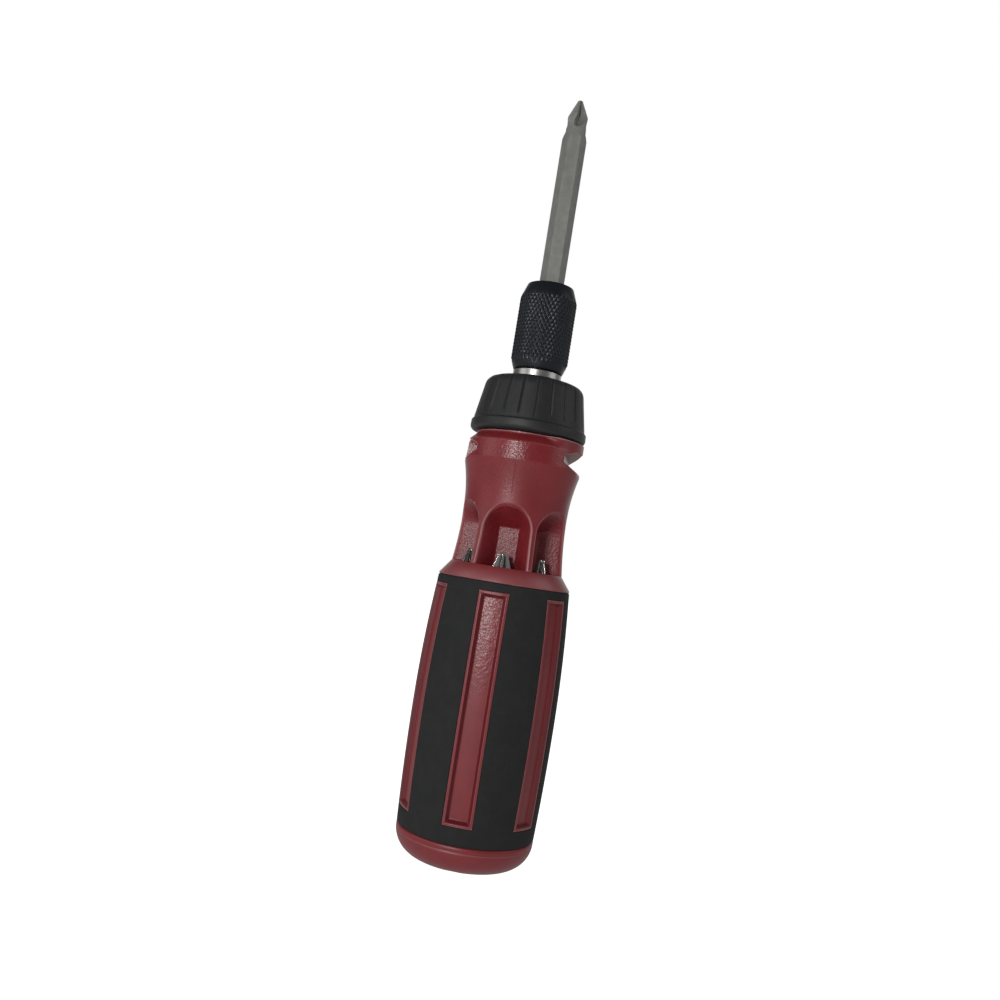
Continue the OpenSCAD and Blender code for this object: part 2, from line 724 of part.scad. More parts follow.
// Spring that returns the sleeve
module chuck_spring() {
    color(steel) translate([0, 0, spring_z0]) wound_spring(spring_r, spring_h, spring_turns, spring_wire);
}

// Balls that grip the bit
module chuck_balls() {
    color(steel) translate([0, 0, ball_z]) rotate(chuck_turn + 90)
        for (side = [-1, 1]) translate([side * ball_out, 0, 0]) sphere(r = ball_r, $fn = round_fn);
}

// Washer that the return spring pushes on
module chuck_washer() {
    color(steel) translate([0, 0, stop_z]) ring(chamber_r - face_gap, shank_r + run_gap, stop_h);
}

// Snap ring that holds the washer
module chuck_snap_ring() {
    color(grey) translate([0, 0, stop_z + stop_h + seat_gap])
        open_ring(shank_r + 0.7, shank_r - snap_depth + seat_gap, snap_h - 2 * seat_gap, 1.6);
}

// Magnet at the bottom of the bit socket
module bit_magnet() {
    color(grey) translate([0, 0, magnet_z]) cylinder(r = magnet_r, h = magnet_h, $fn = round_fn);
}

// Hexagon shank of a bit, from z = 0, with a chamfered end and a cone to its neck
module bit_shank(neck_d) {
    hex_len = bit_len - bit_nose;
    chamfer = 0.6;
    outline = [[0, 0], [hex_r - chamfer, 0], [hex_r + 0.1, chamfer + 0.1], [hex_r + 0.1, hex_len - 0.1],
               [neck_d / 2, hex_len + bit_cone], [0, hex_len + bit_cone]];
    intersection() {
        cylinder(r = hex_r, h = bit_len, $fn = 6);
        rotate_extrude($fn = round_fn) polygon(outline);
    }
}

// Cross tip, its wings turned from the hexagon and its end a share of the neck
module cross_bit(neck_d, end_share, turn) {
    neck_z0 = bit_len - bit_nose + bit_cone - 0.2;
    point_z = bit_len - cross_point;
    point_d = neck_d * end_share;
    core = neck_d * 0.07;
    flute_len = cross_point + 2;
    lean = atan((neck_d / 2 - core) / flute_len);
    bit_shank(neck_d);
    difference() {
        union() {
            translate([0, 0, neck_z0]) cylinder(d = neck_d, h = point_z - neck_z0, $fn = round_fn);
            translate([0, 0, point_z]) cylinder(d1 = neck_d, d2 = point_d, h = cross_point, $fn = round_fn);
        }
        for (i = [0 : 3]) rotate(turn + 45 + 90 * i) translate([core, 0, bit_len]) rotate([0, -lean, 0])
            translate([0, 0, -2 * flute_len]) linear_extrude(2 * flute_len + over)
                polygon([[0, 0], [neck_d, 0.85 * neck_d], [neck_d, -0.85 * neck_d]]);
    }
}

// Slotted tip
module slotted_bit(neck_d, blade_t) {
    neck_z0 = bit_len - bit_nose + bit_cone - 0.2;
    slope_len = bit_nose - bit_cone - 1.5;
    lean = atan((neck_d / 2 - blade_t / 2) / slope_len);
    bit_shank(neck_d);
    difference() {
        translate([0, 0, neck_z0]) cylinder(d = neck_d, h = bit_len - neck_z0, $fn = round_fn);
        for (side = [0, 1]) mirror([0, side, 0])
            translate([-neck_d, blade_t / 2, bit_len]) rotate([lean, 0, 0])
                translate([0, 0, -slope_len * 2]) cube([2 * neck_d, neck_d, slope_len * 2 + over]);
    }
}

// Square tip
module square_bit(neck_d, across) {
    neck_z0 = bit_len - bit_nose + bit_cone - 0.2;
    point_z = bit_len - cross_point;
    bit_shank(neck_d);
    translate([0, 0, neck_z0]) cylinder(d = neck_d, h = point_z - neck_z0, $fn = round_fn);
    translate([-across / 2, -across / 2, point_z - over]) cube([across, across, cross_point + over]);
}

// Places a bit in a storage bore
module in_store(place) {
    color(grey) rotate(place * store_turn) translate([0, -store_r, store_end]) children();
}

// Bit in the chuck
module driver_bit() {
    color(grey) translate([0, 0, driver_z]) rotate(chuck_turn) cross_bit(neck_large, 0.2, wing_turn);
}

// Stored bits, in order round the handle from the window that faces -Y
module stored_cross_large() { in_store(0) rotate(7) cross_bit(neck_large, 0.4, 0); }
module stored_cross_small() { in_store(1) rotate(10) cross_bit(neck_small, 0.4, 0); }
module stored_slotted_wide() { in_store(2) rotate(25) slotted_bit(neck_large, 1); }
module stored_square() { in_store(3) square_bit(neck_small, 2.8); }
module stored_slotted_narrow() { in_store(4) rotate(15) slotted_bit(neck_small, 0.8); }
module stored_cross_medium() { in_store(5) rotate(10) cross_bit((neck_small + neck_large) / 2, 0.4, 0); }

handle_core();
handle_head();
grip_sleeve();
ratchet_body();
ratchet_cover();
cover_screws();
spindle();
ratchet_gear();
spindle_washer();
spindle_circlip();
pawl_forward();
pawl_reverse();
pawl_pins();
pawl_springs();
selector_collar();
detent_ball();
detent_spring();
chuck_sleeve();
chuck_spring();
chuck_balls();
chuck_washer();
chuck_snap_ring();
bit_magnet();
driver_bit();
stored_cross_large();
stored_cross_small();
stored_slotted_wide();
stored_square();
stored_slotted_narrow();
stored_cross_medium();
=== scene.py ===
# %% [markdown]
# # A ratcheting screwdriver, dressed for its picture
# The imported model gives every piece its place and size. This lesson keeps that frame as it is,
# models the pieces that show with finer shapes, and gives each one a finish made from nodes.

# %% Load the frame
import json
import math

import bmesh
import bpy
import numpy as np
from mathutils import Matrix, Vector


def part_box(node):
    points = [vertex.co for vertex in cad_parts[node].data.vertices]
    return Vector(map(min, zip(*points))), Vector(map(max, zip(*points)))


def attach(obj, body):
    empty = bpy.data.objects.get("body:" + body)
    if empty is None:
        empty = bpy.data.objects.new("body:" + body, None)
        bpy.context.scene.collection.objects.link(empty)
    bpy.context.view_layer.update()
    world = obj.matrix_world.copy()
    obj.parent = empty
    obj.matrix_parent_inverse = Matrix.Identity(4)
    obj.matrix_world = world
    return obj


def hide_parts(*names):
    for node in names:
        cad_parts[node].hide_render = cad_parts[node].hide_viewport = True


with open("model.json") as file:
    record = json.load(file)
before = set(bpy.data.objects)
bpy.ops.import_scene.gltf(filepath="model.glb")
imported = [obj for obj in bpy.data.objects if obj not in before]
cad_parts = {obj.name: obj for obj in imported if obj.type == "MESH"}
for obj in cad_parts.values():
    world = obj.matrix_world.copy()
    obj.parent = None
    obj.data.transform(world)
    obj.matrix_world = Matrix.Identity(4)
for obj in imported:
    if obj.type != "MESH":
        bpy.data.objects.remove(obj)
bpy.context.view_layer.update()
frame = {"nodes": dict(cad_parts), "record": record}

MM = 0.001

# %% [markdown]
# ## Sizes
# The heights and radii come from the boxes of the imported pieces, in millimetres, so the modelled
# pieces land where the construction has them. The few sizes that a box can't show, such as the
# narrowest part of the waist, are written here.


# %% Sizes from the frame
def extent(node):
    """Radius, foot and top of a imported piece, in millimetres."""
    low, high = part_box(node)
    return max(high.x, high.y) / MM, low.z / MM, high.z / MM


GRIP_R, GRIP_Z0, GRIP_Z1 = extent("grip_sleeve")
SHOULDER_R, _, NECK_Z = extent("handle_head")
_, _, LEDGE_Z = extent("handle_core")
COLLAR_R, COLLAR_Z0, COLLAR_Z1 = extent("selector_collar")
SLEEVE_R, SLEEVE_Z0, SLEEVE_Z1 = extent("chuck_sleeve")
_, SPINDLE_Z0, SPINDLE_Z1 = extent("spindle")
STORE_R = -(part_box("stored_cross_large")[0].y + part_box("stored_cross_large")[1].y) / 2 / MM
GRIP_MID = (GRIP_Z0 + GRIP_Z1) / 2
BASE_R = 19.7
GRIP_TOP_R = 19.1
SILL_R = 16.2
SILL_Z = LEDGE_Z + 0.2
WINDOW_Z = LEDGE_Z + 17.5
WAIST_R = 15.15
WAIST_Z = WINDOW_Z - 2
SHOULDER_Z0 = NECK_Z - 8.1
SHOULDER_Z1 = NECK_Z - 2.8
NECK_R = 14.65
STORE_N = 6
print("grip", round(GRIP_Z0, 2), round(GRIP_Z1, 2), "neck", round(NECK_Z, 2), "store", round(STORE_R, 2))

# %% [markdown]
# ## Camera
# The tool leans to the right in the picture and is seen from a little below its middle. The camera
# stands where the picture's perspective puts it, pitched up slightly and rolled, so that the upright
# model leans the same way. Its distance came from how much the tool narrows from base to tip.

# %% Camera
PICTURE = 1000
SENSOR = 36
FOCAL_PIXELS = 950
CAMERA_DISTANCE = 277
CAMERA_HEIGHT = 85.3
CAMERA_AZIMUTH = math.radians(6.7)
CAMERA_YAW = math.radians(1.03)
CAMERA_PITCH = math.radians(3.6)
CAMERA_ROLL = math.radians(9.1)


def aim_camera():
    """A camera at the picture's viewpoint."""
    heading = CAMERA_AZIMUTH + CAMERA_YAW
    ahead = Vector((-math.sin(heading), math.cos(heading), 0))
    right = Vector((math.cos(heading), math.sin(heading), 0))
    forward = math.cos(CAMERA_PITCH) * ahead + math.sin(CAMERA_PITCH) * Vector((0, 0, 1))
    up = right.cross(forward)
    rolled_right = math.cos(CAMERA_ROLL) * right + math.sin(CAMERA_ROLL) * up
    rolled_up = math.cos(CAMERA_ROLL) * up - math.sin(CAMERA_ROLL) * right
    turn = Matrix((rolled_right, rolled_up, -forward)).transposed().to_4x4()
    place = Vector((math.sin(CAMERA_AZIMUTH), -math.cos(CAMERA_AZIMUTH), 0)) * CAMERA_DISTANCE
    place.z = CAMERA_HEIGHT
    camera = bpy.data.objects.new("camera", bpy.data.cameras.new("camera"))
    bpy.context.scene.collection.objects.link(camera)
    camera.data.sensor_width = SENSOR
    camera.data.lens = SENSOR * FOCAL_PIXELS / PICTURE
    camera.data.clip_start = 0.01
    camera.data.clip_end = 20
    camera.matrix_world = Matrix.Translation(place * MM) @ turn
    bpy.context.scene.camera = camera
    return camera


camera = aim_camera()
print("camera lens", round(camera.data.lens, 2))

# %% [markdown]
# ## Shader maths
# A material is easier to read as sums than as a web of nodes. This small class holds one output of a
# node, and adding or multiplying two of them adds the Math node that does it.


# %% Wires
class Wire:
    """One output of a node, so that shader maths reads as plain sums."""

    def __init__(self, tree, socket=None):
        self.tree = tree
        self.socket = socket

    def node(self, kind, settings=None, values=None, out=0):
        """A new node: its settings first, then the values or wires of its inputs."""
        made = self.tree.nodes.new("ShaderNode" + kind)
        for name, value in (settings or {}).items():
            setattr(made, name, value)
        for name, value in (values or {}).items():
            if isinstance(value, Wire):
                self.tree.links.new(value.socket, made.inputs[name])
            else:
                made.inputs[name].default_value = value
        return Wire(self.tree, made.outputs[out])

    def maths(self, operation, *values):
        """A Math node on numbers or wires."""
        return self.node("Math", {"operation": operation}, dict(enumerate(values)))

    def __add__(self, other):
        return self.maths("ADD", self, other)

    def __radd__(self, other):
        return self.maths("ADD", other, self)

    def __sub__(self, other):
        return self.maths("SUBTRACT", self, other)

    def __rsub__(self, other):
        return self.maths("SUBTRACT", other, self)

    def __mul__(self, other):
        return self.maths("MULTIPLY", self, other)

    def __rmul__(self, other):
        return self.maths("MULTIPLY", other, self)

    def __truediv__(self, other):
        return self.maths("DIVIDE", self, other)

    def __pow__(self, other):
        return self.maths("POWER", self, other)

    def between(self, low, high):
        """0 at low and below, 1 at high and above, eased between; low may be the larger."""
        if low > high:
            return 1 - self.between(high, low)
        return self.node("MapRange", {"interpolation_type": "SMOOTHSTEP"},
                         {"Value": self, "From Min": low, "From Max": high})

    def noise(self, scale, detail=3, roughness=0.5):
        """A noise value about 0.5 on this vector."""
        return self.node("TexNoise", None, {"Vector": self, "Scale": scale, "Detail": detail,
                                            "Roughness": roughness})

    def mix(self, first, second):
        """Two colours mixed by this wire."""
        return self.node("Mix", {"data_type": "RGBA"}, {0: self, 6: first, 7: second}, out=2)


print("shader maths ready")

# %% [markdown]
# ## Finishes
# Every finish starts from one Principled shader. Its constants are set on the shader itself, and what
# changes over the surface, such as grain, wear and dust, comes from patterns on Object coordinates.


# %% Finish helpers
def new_finish(name, constants):
    """A material with one Principled shader, its constants set, and a first wire to build on."""
    material = bpy.data.materials.new(name)
    material.use_nodes = True
    shader = material.node_tree.nodes["Principled BSDF"]
    for socket, value in constants.items():
        shader.inputs[socket].default_value = value
    return material, Wire(material.node_tree)


def feed(material, **wires):
    """Links wires to the shader's inputs; Base_Color stands for Base Color."""
    shader = material.node_tree.nodes["Principled BSDF"]
    for name, wire in wires.items():
        material.node_tree.links.new(wire.socket, shader.inputs[name.replace("_", " ")])


def object_place(start):
    """Object coordinates in millimetres."""
    raw = start.node("TexCoord", out="Object")
    return start.node("VectorMath", {"operation": "SCALE"}, {0: raw, "Scale": 1 / MM})


def measures(place):
    """How far a point is to the right, its height, and its radius from the axis."""
    x = place.node("SeparateXYZ", None, {0: place}, out="X")
    y = place.node("SeparateXYZ", None, {0: place}, out="Y")
    z = place.node("SeparateXYZ", None, {0: place}, out="Z")
    return x, z, (x * x + y * y) ** 0.5


def soft_edges(start, radius):
    """The normal of a surface whose sharp edges are rounded over by a small radius."""
    return start.node("Bevel", {"samples": 6}, {"Radius": radius * MM})


def edges(start, low, high):
    """0 to 1 by the mesh's own curvature, which is 0.5 on flats, more on edges and less in hollows."""
    return start.node("NewGeometry", out="Pointiness").between(low, high)


def grain(start, height, depth, normal=None):
    """A bump from a height pattern that is depth millimetres high."""
    values = {"Height": height, "Distance": depth * MM, "Strength": 1.0}
    if normal:
        values["Normal"] = normal
    return start.node("Bump", None, values)


print("finish helpers ready")

# %% [markdown]
# ### Red moulded plastic
# The handle is moulded in a dull deep red. Where the mould was spark-eroded the surface is a fine
# glossy grain: the shoulder band, the waist, the walls of the windows and the floors of the panels, where
# it is creased like leather. The places could be painted on an unwrapped mesh. Here each one is a mask
# made from height and radius, which needs no unwrapping and stays sharp up close. The panels' walls are
# painted darker as shade, edges that stand out and a thin line just below the rubber get a painted
# highlight, and a faint parting line runs down the front.

# %% Red moulded plastic
RED_LIT = (0.190, 0.0140, 0.019, 1)
RED_DEEP = (0.165, 0.0115, 0.0155, 1)
RED_SHADE = (0.085, 0.0030, 0.0055, 1)
# the pale colour of the painted highlight on edges and below the rubber
RED_EDGE_HIGHLIGHT = (0.330, 0.150, 0.155, 1)
LEATHER_FAINT_Z, LEATHER_FULL_Z = 38, 66


def either(first, second):
    """The larger of two masks."""
    return first.maths("MAXIMUM", first, second)


def red_plastic():
    """Moulded red with grain where the mould was rough."""
    material, start = new_finish("red_plastic", {"Specular IOR Level": 0.5})
    place = object_place(start)
    x, z, r = measures(place)
    cloud = place.noise(0.15, 3)
    fleck = place.noise(1.8, 2, 0.5)
    inside_right = x.between(12, 13) * r.between(SHOULDER_R - 0.3, SHOULDER_R - 0.8)
    above_waist = z.between(SHOULDER_Z0 - 0.3, SHOULDER_Z0 + 0.1)
    band = (1 - inside_right) * above_waist * z.between(SHOULDER_Z1 + 0.2, SHOULDER_Z1 - 0.2)
    waist = 0.5 * z.between(WINDOW_Z, WINDOW_Z + 3) * z.between(SHOULDER_Z0, SHOULDER_Z0 - 0.5)
    rough = either(band, waist)
    fall = (WAIST_Z - z) / (WAIST_Z - SILL_Z)
    flare = (SILL_R - WAIST_R) * fall * fall
    window = (WAIST_R + flare - r).between(0.4, 0.8)
    window = window * z.between(LEDGE_Z, LEDGE_Z + 0.3) * z.between(WINDOW_Z + 1, WINDOW_Z)
    swell = (z - GRIP_MID) / (GRIP_MID - GRIP_Z0)
    drop = swell * swell * (GRIP_R - BASE_R + (BASE_R - GRIP_TOP_R) * z.between(GRIP_MID - 1, GRIP_MID + 1))
    sunk = GRIP_R - drop - r
    floor = sunk.between(0.95, 1.12) * z.between(GRIP_Z1, GRIP_Z1 - 3)
    leather = floor * (0.15 + 0.85 * z.between(LEATHER_FAINT_Z, LEATHER_FULL_Z))
    wrinkle = place.noise(0.72, 2, 0.5)
    crease = wrinkle.maths("ABSOLUTE", wrinkle - 0.5)
    sill = z.between(GRIP_Z1, GRIP_Z1 + 0.3) * z.between(LEDGE_Z + 0.3, LEDGE_Z)
    gloss = 0.12 * rough + 0.05 * window + 0.08 * leather + 0.04 * sill
    parting = x.maths("ABSOLUTE", x).between(0.2, 0.06) * z.between(WINDOW_Z + 1.5, WINDOW_Z + 3)
    height = fleck * (0.05 + 0.95 * rough + 1.4 * window) + 2.0 * leather * crease - 0.5 * parting
    normal = grain(start, height, 0.11, soft_edges(start, 0.15))
    tone = cloud.between(0.3, 0.7) * (1 - 0.7 * parting)
    on_grip = z.between(GRIP_Z1 - 1, GRIP_Z1 - 2) * z.between(GRIP_Z0 + 2, GRIP_Z0 + 3)
    # Painted shade: the sloping walls of the panels are darkened towards RED_SHADE, as if in shadow.
    wall = sunk.between(0.05, 0.2) * (1 - floor) * on_grip
    body = (0.85 * wall).mix(tone.mix(RED_DEEP, RED_LIT), RED_SHADE)
    # Painted highlight: edges found by the mesh's curvature, and a thin line just below the rubber, are
    # made paler like lit rims.
    bare = (1 - wall) * (1 - window) * (1 - 0.6 * sill) * z.between(GRIP_Z0, GRIP_Z0 + 1)
    lip = z.between(GRIP_Z0 - 2.0, GRIP_Z0 - 1.75) * z.between(GRIP_Z0 - 1.4, GRIP_Z0 - 1.6)
    colour = either(0.8 * bare * edges(start, 0.512, 0.55), 0.25 * lip).mix(body, RED_EDGE_HIGHLIGHT)
    feed(material, Base_Color=colour, Roughness=0.42 - gloss, Normal=normal)
    return material


RED = red_plastic()
print(RED.name, len(RED.node_tree.nodes), "nodes")

# %% [markdown]
# ### Grip rubber
# The soft grip is a matte, slightly dusty black with no gloss of its own, so it has a very rough
# surface, a low reflection and a fine pebble. A picture of rubber would repeat over such a long piece,
# so the dust and the pebble are noise.


# %% Grip rubber
def grip_rubber():
    """Matte black rubber, a little dusty."""
    material, start = new_finish("grip_rubber", {"Specular IOR Level": 0.16})
    place = object_place(start)
    pebble = place.noise(3.2, 3, 0.6)
    dust = place.noise(0.2, 5, 0.7).between(0.35, 0.75)
    colour = dust.mix((0.0185, 0.0188, 0.019, 1), (0.0225, 0.0228, 0.023, 1))
    normal = grain(start, pebble, 0.03, soft_edges(start, 0.35))
    feed(material, Base_Color=colour, Roughness=0.68 + 0.2 * pebble, Normal=normal)
    return material


RUBBER = grip_rubber()
print(RUBBER.name, len(RUBBER.node_tree.nodes), "nodes")

# %% [markdown]
# ### Black selector plastic
# The collar is glass-filled nylon: darker than the rubber and with a satin gloss. Its corners are
# painted a little lighter, partly as rubbing from use and partly as a painted highlight, and a painted
# glint runs round the top edge of the bead. The lighter corners could be painted on an unwrapped mesh,
# but the mesh's own curvature finds them, so they follow the grooves wherever they are.


# %% Black selector plastic
def black_plastic():
    """Satin black plastic, its corners lighter by rubbing and a painted highlight, with a painted glint on
    the bead.
    """
    material, start = new_finish("black_plastic", {"Specular IOR Level": 0.42})
    place = object_place(start)
    _, z, _ = measures(place)
    fleck = place.noise(2.6, 3, 0.6)
    rub = place.noise(0.35, 4, 0.6).between(0.4, 0.75)
    # Painted highlight: a glint line, broken up by noise, round the top edge of the bead.
    bead_glint = z.between(COLLAR_Z0 + 2.7, COLLAR_Z0 + 2.95) * z.between(COLLAR_Z0 + 3.3, COLLAR_Z0 + 3.05)
    rub_and_glint = either(rub, 2.2 * bead_glint * fleck.between(0.4, 0.6))
    satin = rub_and_glint.mix((0.0115, 0.012, 0.0132, 1), (0.0150, 0.0155, 0.017, 1))
    # Corners lighter by curvature: partly rubbing, partly a painted highlight.
    colour = (0.6 * edges(start, 0.513, 0.55)).mix(satin, (0.045, 0.046, 0.050, 1))
    normal = grain(start, fleck, 0.025, soft_edges(start, 0.18))
    feed(material, Base_Color=colour, Roughness=0.46 + 0.12 * fleck, Normal=normal)
    return material


BLACK = black_plastic()
print(BLACK.name, len(BLACK.node_tree.nodes), "nodes")

# %% [markdown]
# ### Steels
# The chuck sleeve is blackened, with its knurl's points painted lighter, partly as wear and partly as a
# painted highlight. Its ring is bright and turned, the fitted bit is blasted to a warm grey and the stored
# bits are polished; painted shade darkens the hollows of the bit tips, most on the stored bits. Turning
# leaves rings round the axis, so those marks are a noise in one dimension: height, and on the ring a little
# radius.


# %% Steels: the chuck
def blackened_steel():
    """Chemically blackened steel with a faint blue, lighter on the knurl's points, partly as wear and
    partly as a painted highlight.
    """
    material, start = new_finish("black_steel", {"Metallic": 0.2, "Specular IOR Level": 0.4})
    place = object_place(start)
    _, z, r = measures(place)
    streak = place.noise(1.2, 4, 0.6)
    rings = start.node("TexNoise", {"noise_dimensions": "1D"}, {"W": z, "Scale": 6.0, "Detail": 2.0})
    # Knurl points lighter: partly wear, partly a painted highlight on the peaks.
    worn_and_glint = (r - SLEEVE_R + 0.10).between(0, 0.10) * streak.between(0.45, 0.7)
    colour = worn_and_glint.mix((0.0075, 0.0092, 0.0135, 1), (0.055, 0.060, 0.071, 1))
    normal = grain(start, rings, 0.01, soft_edges(start, 0.10))
    feed(material, Base_Color=colour, Roughness=0.28 + 0.16 * streak, Normal=normal)
    return material


def turned_steel():
    """Bright steel with fine turning rings."""
    material, start = new_finish("turned_steel", {"Metallic": 1.0})
    place = object_place(start)
    _, z, r = measures(place)
    rings = start.node("TexNoise", {"noise_dimensions": "1D"},
                       {"W": z + 0.3 * r, "Scale": 9.0, "Detail": 3.0})
    cloud = place.noise(0.6, 3)
    colour = cloud.mix((0.38, 0.375, 0.365, 1), (0.45, 0.445, 0.435, 1))
    normal = grain(start, rings, 0.006, soft_edges(start, 0.15))
    feed(material, Base_Color=colour, Roughness=0.31 + 0.06 * rings, Normal=normal)
    return material


BLACK_STEEL = blackened_steel()
TURNED = turned_steel()
print(BLACK_STEEL.name, TURNED.name)

# %% Steels: the bits and the works inside
# the colour of the painted shade in the hollows of the tips
HOLLOW_SHADE = (0.02, 0.02, 0.02, 1)


def bit_steel(name, dark, light, shine, patchy, metal, blast, hollow):
    """Bit steel, from bead-blasted grey to polished: patchy is how much its roughness varies, blast the
    depth of its grain and hollow the share of painted shade that darkens its hollows."""
    material, start = new_finish(name, {"Metallic": metal})
    place = object_place(start)
    fleck = place.noise(2.2, 3, 0.65)
    cloud = place.noise(0.35, 4, 0.6)
    normal = grain(start, fleck, blast, soft_edges(start, 0.15))
    colour = (0.6 * cloud + 0.4 * fleck).between(0.3, 0.7).mix(dark, light)
    # Painted shade: hollows found by the mesh's curvature are darkened.
    colour = (hollow * edges(start, 0.495, 0.46)).mix(colour, HOLLOW_SHADE)
    feed(material, Base_Color=colour, Roughness=shine + patchy * fleck, Normal=normal)
    return material


def plain_steel(name, dark, light, shine):
    """Plain steel for the pieces inside."""
    material, start = new_finish(name, {"Metallic": 1.0})
    place = object_place(start)
    cloud = place.noise(0.8, 4, 0.6)
    scratch = place.noise(6, 2)
    feed(material, Base_Color=cloud.mix(dark, light), Roughness=shine + 0.15 * scratch,
         Normal=grain(start, scratch, 0.01))
    return material


BLASTED = bit_steel("blasted_bit", (0.174, 0.173, 0.162, 1), (0.237, 0.236, 0.221, 1),
                    shine=0.48, patchy=0.14, metal=0.25, blast=0.03, hollow=0.3)
POLISHED = bit_steel("polished_bit", (0.40, 0.40, 0.385, 1), (0.44, 0.44, 0.425, 1),
                     shine=0.16, patchy=0.03, metal=0.9, blast=0.0003, hollow=0.85)
ZINC = plain_steel("zinc_steel", (0.36, 0.36, 0.37, 1), (0.52, 0.52, 0.53, 1), 0.35)
INNER = plain_steel("inner_steel", (0.40, 0.40, 0.40, 1), (0.58, 0.58, 0.57, 1), 0.25)
print(BLASTED.name, POLISHED.name, ZINC.name, INNER.name)

# %% [markdown]
# ## Modelling helpers
# Most pieces are turned, so one helper spins an outline round the axis. Another cuts one shape with
# another. The last one puts a finished shape on its body and hides the imported pieces it stands for.


# %% Modelling helpers: turning
WELD = 1e-4


def turned(outline, steps, closed=False):
    """A shape turned from an outline of radius and height, as on a lathe."""
    bm = bmesh.new()
    points = [bm.verts.new((r, 0, z)) for r, z in outline]
    lines = [bm.edges.new(pair) for pair in zip(points, points[1:])]
    if closed:
        lines.append(bm.edges.new((points[-1], points[0])))
    bmesh.ops.spin(bm, geom=points + lines, cent=(0, 0, 0), axis=(0, 0, 1), angle=2 * math.pi,
                   steps=steps, use_merge=True)
    bmesh.ops.remove_doubles(bm, verts=bm.verts, dist=WELD)
    bmesh.ops.recalc_face_normals(bm, faces=bm.faces)
    return bm


def arc(centre_r, centre_z, radius, start, end, count):
    """Points of an arc in an outline, angles in degrees from outwards towards up."""
    angles = [math.radians(start + (end - start) * i / count) for i in range(count + 1)]
    return [(centre_r + radius * math.cos(a), centre_z + radius * math.sin(a)) for a in angles]


def levels(low, high, step):
    """Heights from low up to, but not including, high."""
    count = max(1, round((high - low) / step))
    return [low + (high - low) * i / count for i in range(count)]


print("turning ready, for example levels", levels(0, 1, 0.25))


# %% Modelling helpers: carving and copying
def as_object(bm, name):
    """A scene object that holds a copy of a shape."""
    mesh = bpy.data.meshes.new(name)
    bm.to_mesh(mesh)
    made = bpy.data.objects.new(name, mesh)
    bpy.context.scene.collection.objects.link(made)
    return made


def carved(bm, tool, operation):
    """One shape cut, joined or limited by another; both are used up."""
    work = as_object(bm, "work")
    cutter = as_object(tool, "cutter")
    boolean = work.modifiers.new("carve", "BOOLEAN")
    boolean.operation = operation
    boolean.solver = "EXACT"
    boolean.object = cutter
    result = work.evaluated_get(bpy.context.evaluated_depsgraph_get()).to_mesh()
    bm.clear()
    tool.free()
    bm.from_mesh(result)
    for spent in (work, cutter):
        mesh = spent.data
        bpy.data.objects.remove(spent)
        bpy.data.meshes.remove(mesh)
    bmesh.ops.remove_doubles(bm, verts=bm.verts, dist=WELD)
    return bm


def rounds(bm, count):
    """Copies a shape evenly round the axis."""
    source = list(bm.verts) + list(bm.edges) + list(bm.faces)
    for i in range(1, count):
        copy = bmesh.ops.duplicate(bm, geom=source)["geom"]
        bmesh.ops.rotate(bm, verts=[v for v in copy if isinstance(v, bmesh.types.BMVert)], cent=(0, 0, 0),
                         matrix=Matrix.Rotation(2 * math.pi * i / count, 3, "Z"))
    return bm


print("carving ready")


# %% Modelling helpers: finishing a piece
def finished(bm, name, finish, body, nodes, sharp=35):
    """A piece of the tool in metres, shaded smooth up to sharp degrees, riding on its body."""
    bmesh.ops.scale(bm, vec=(MM, MM, MM), verts=bm.verts)
    for face in bm.faces:
        face.smooth = True
    for edge in bm.edges:
        edge.smooth = edge.is_manifold and edge.calc_face_angle(0) < math.radians(sharp)
    piece = as_object(bm, name)
    bm.free()
    piece.data.materials.append(finish)
    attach(piece, body)
    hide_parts(*nodes)
    print(name, len(piece.data.polygons), "faces")
    return piece


def bow(start, end, t):
    """A radius that bows from one value to another as t goes from 0 to 1."""
    return start + (end - start) * t * t


def grip_radius(z):
    """Outside radius of the grip at a height."""
    if z < GRIP_MID:
        return bow(GRIP_R, BASE_R, (GRIP_MID - z) / (GRIP_MID - GRIP_Z0))
    return bow(GRIP_R, GRIP_TOP_R, (z - GRIP_MID) / (GRIP_Z1 - GRIP_MID))


print("grip radius in the middle", round(grip_radius(GRIP_MID), 2))

# %% [markdown]
# ## The head of the handle
# The head has six arched windows, a waist, a shoulder with two V notches and a short neck. Cut with
# Booleans, its rims would be knife sharp. Here it is a dense turned skin instead, and each point is
# drawn in to the depth that the window or notch has along its own radius. Near a rim the skin rolls
# over by a small radius, as on a moulding. The right notch is open at both ends, the left one ends in a
# wall, and a lug on the right fills the step between shoulder and neck.

# %% The head: its outline
RIM_ROUND = 0.32
WINDOW_BACK_Y = STORE_R - 4.096
WINDOW_BACK_HALF = 2.9
WINDOW_BACK_TOP = LEDGE_Z + 11.445
WINDOW_HALF = 7.0
WINDOW_SLOPE = (WINDOW_HALF - WINDOW_BACK_HALF) / (WAIST_R * 0.91 - WINDOW_BACK_Y)
WINDOW_RISE = (WINDOW_Z - WINDOW_BACK_TOP) / (WAIST_R - WINDOW_BACK_Y)
ARCH_REACH = 9.896
ARCH_RATE = WINDOW_BACK_HALF / ARCH_REACH + WINDOW_SLOPE
NOTCH_APEX = SHOULDER_R - 4.7
NOTCH_Z = (SHOULDER_Z0 + SHOULDER_Z1) / 2
NOTCH_FLARE = 2.5 / 4.7
NOTCH_ROUND = 0.8
SHOULDER_TOP_R = SHOULDER_R - 0.3
CHAMFER_TOP = SHOULDER_Z1 + 2.17
LUG_END = 49
LUG_LEAN = 8
LUG_BLEND = math.radians(16)
HEAD_COLUMNS = 480
BISECTIONS = 22
NO_CUT = 40


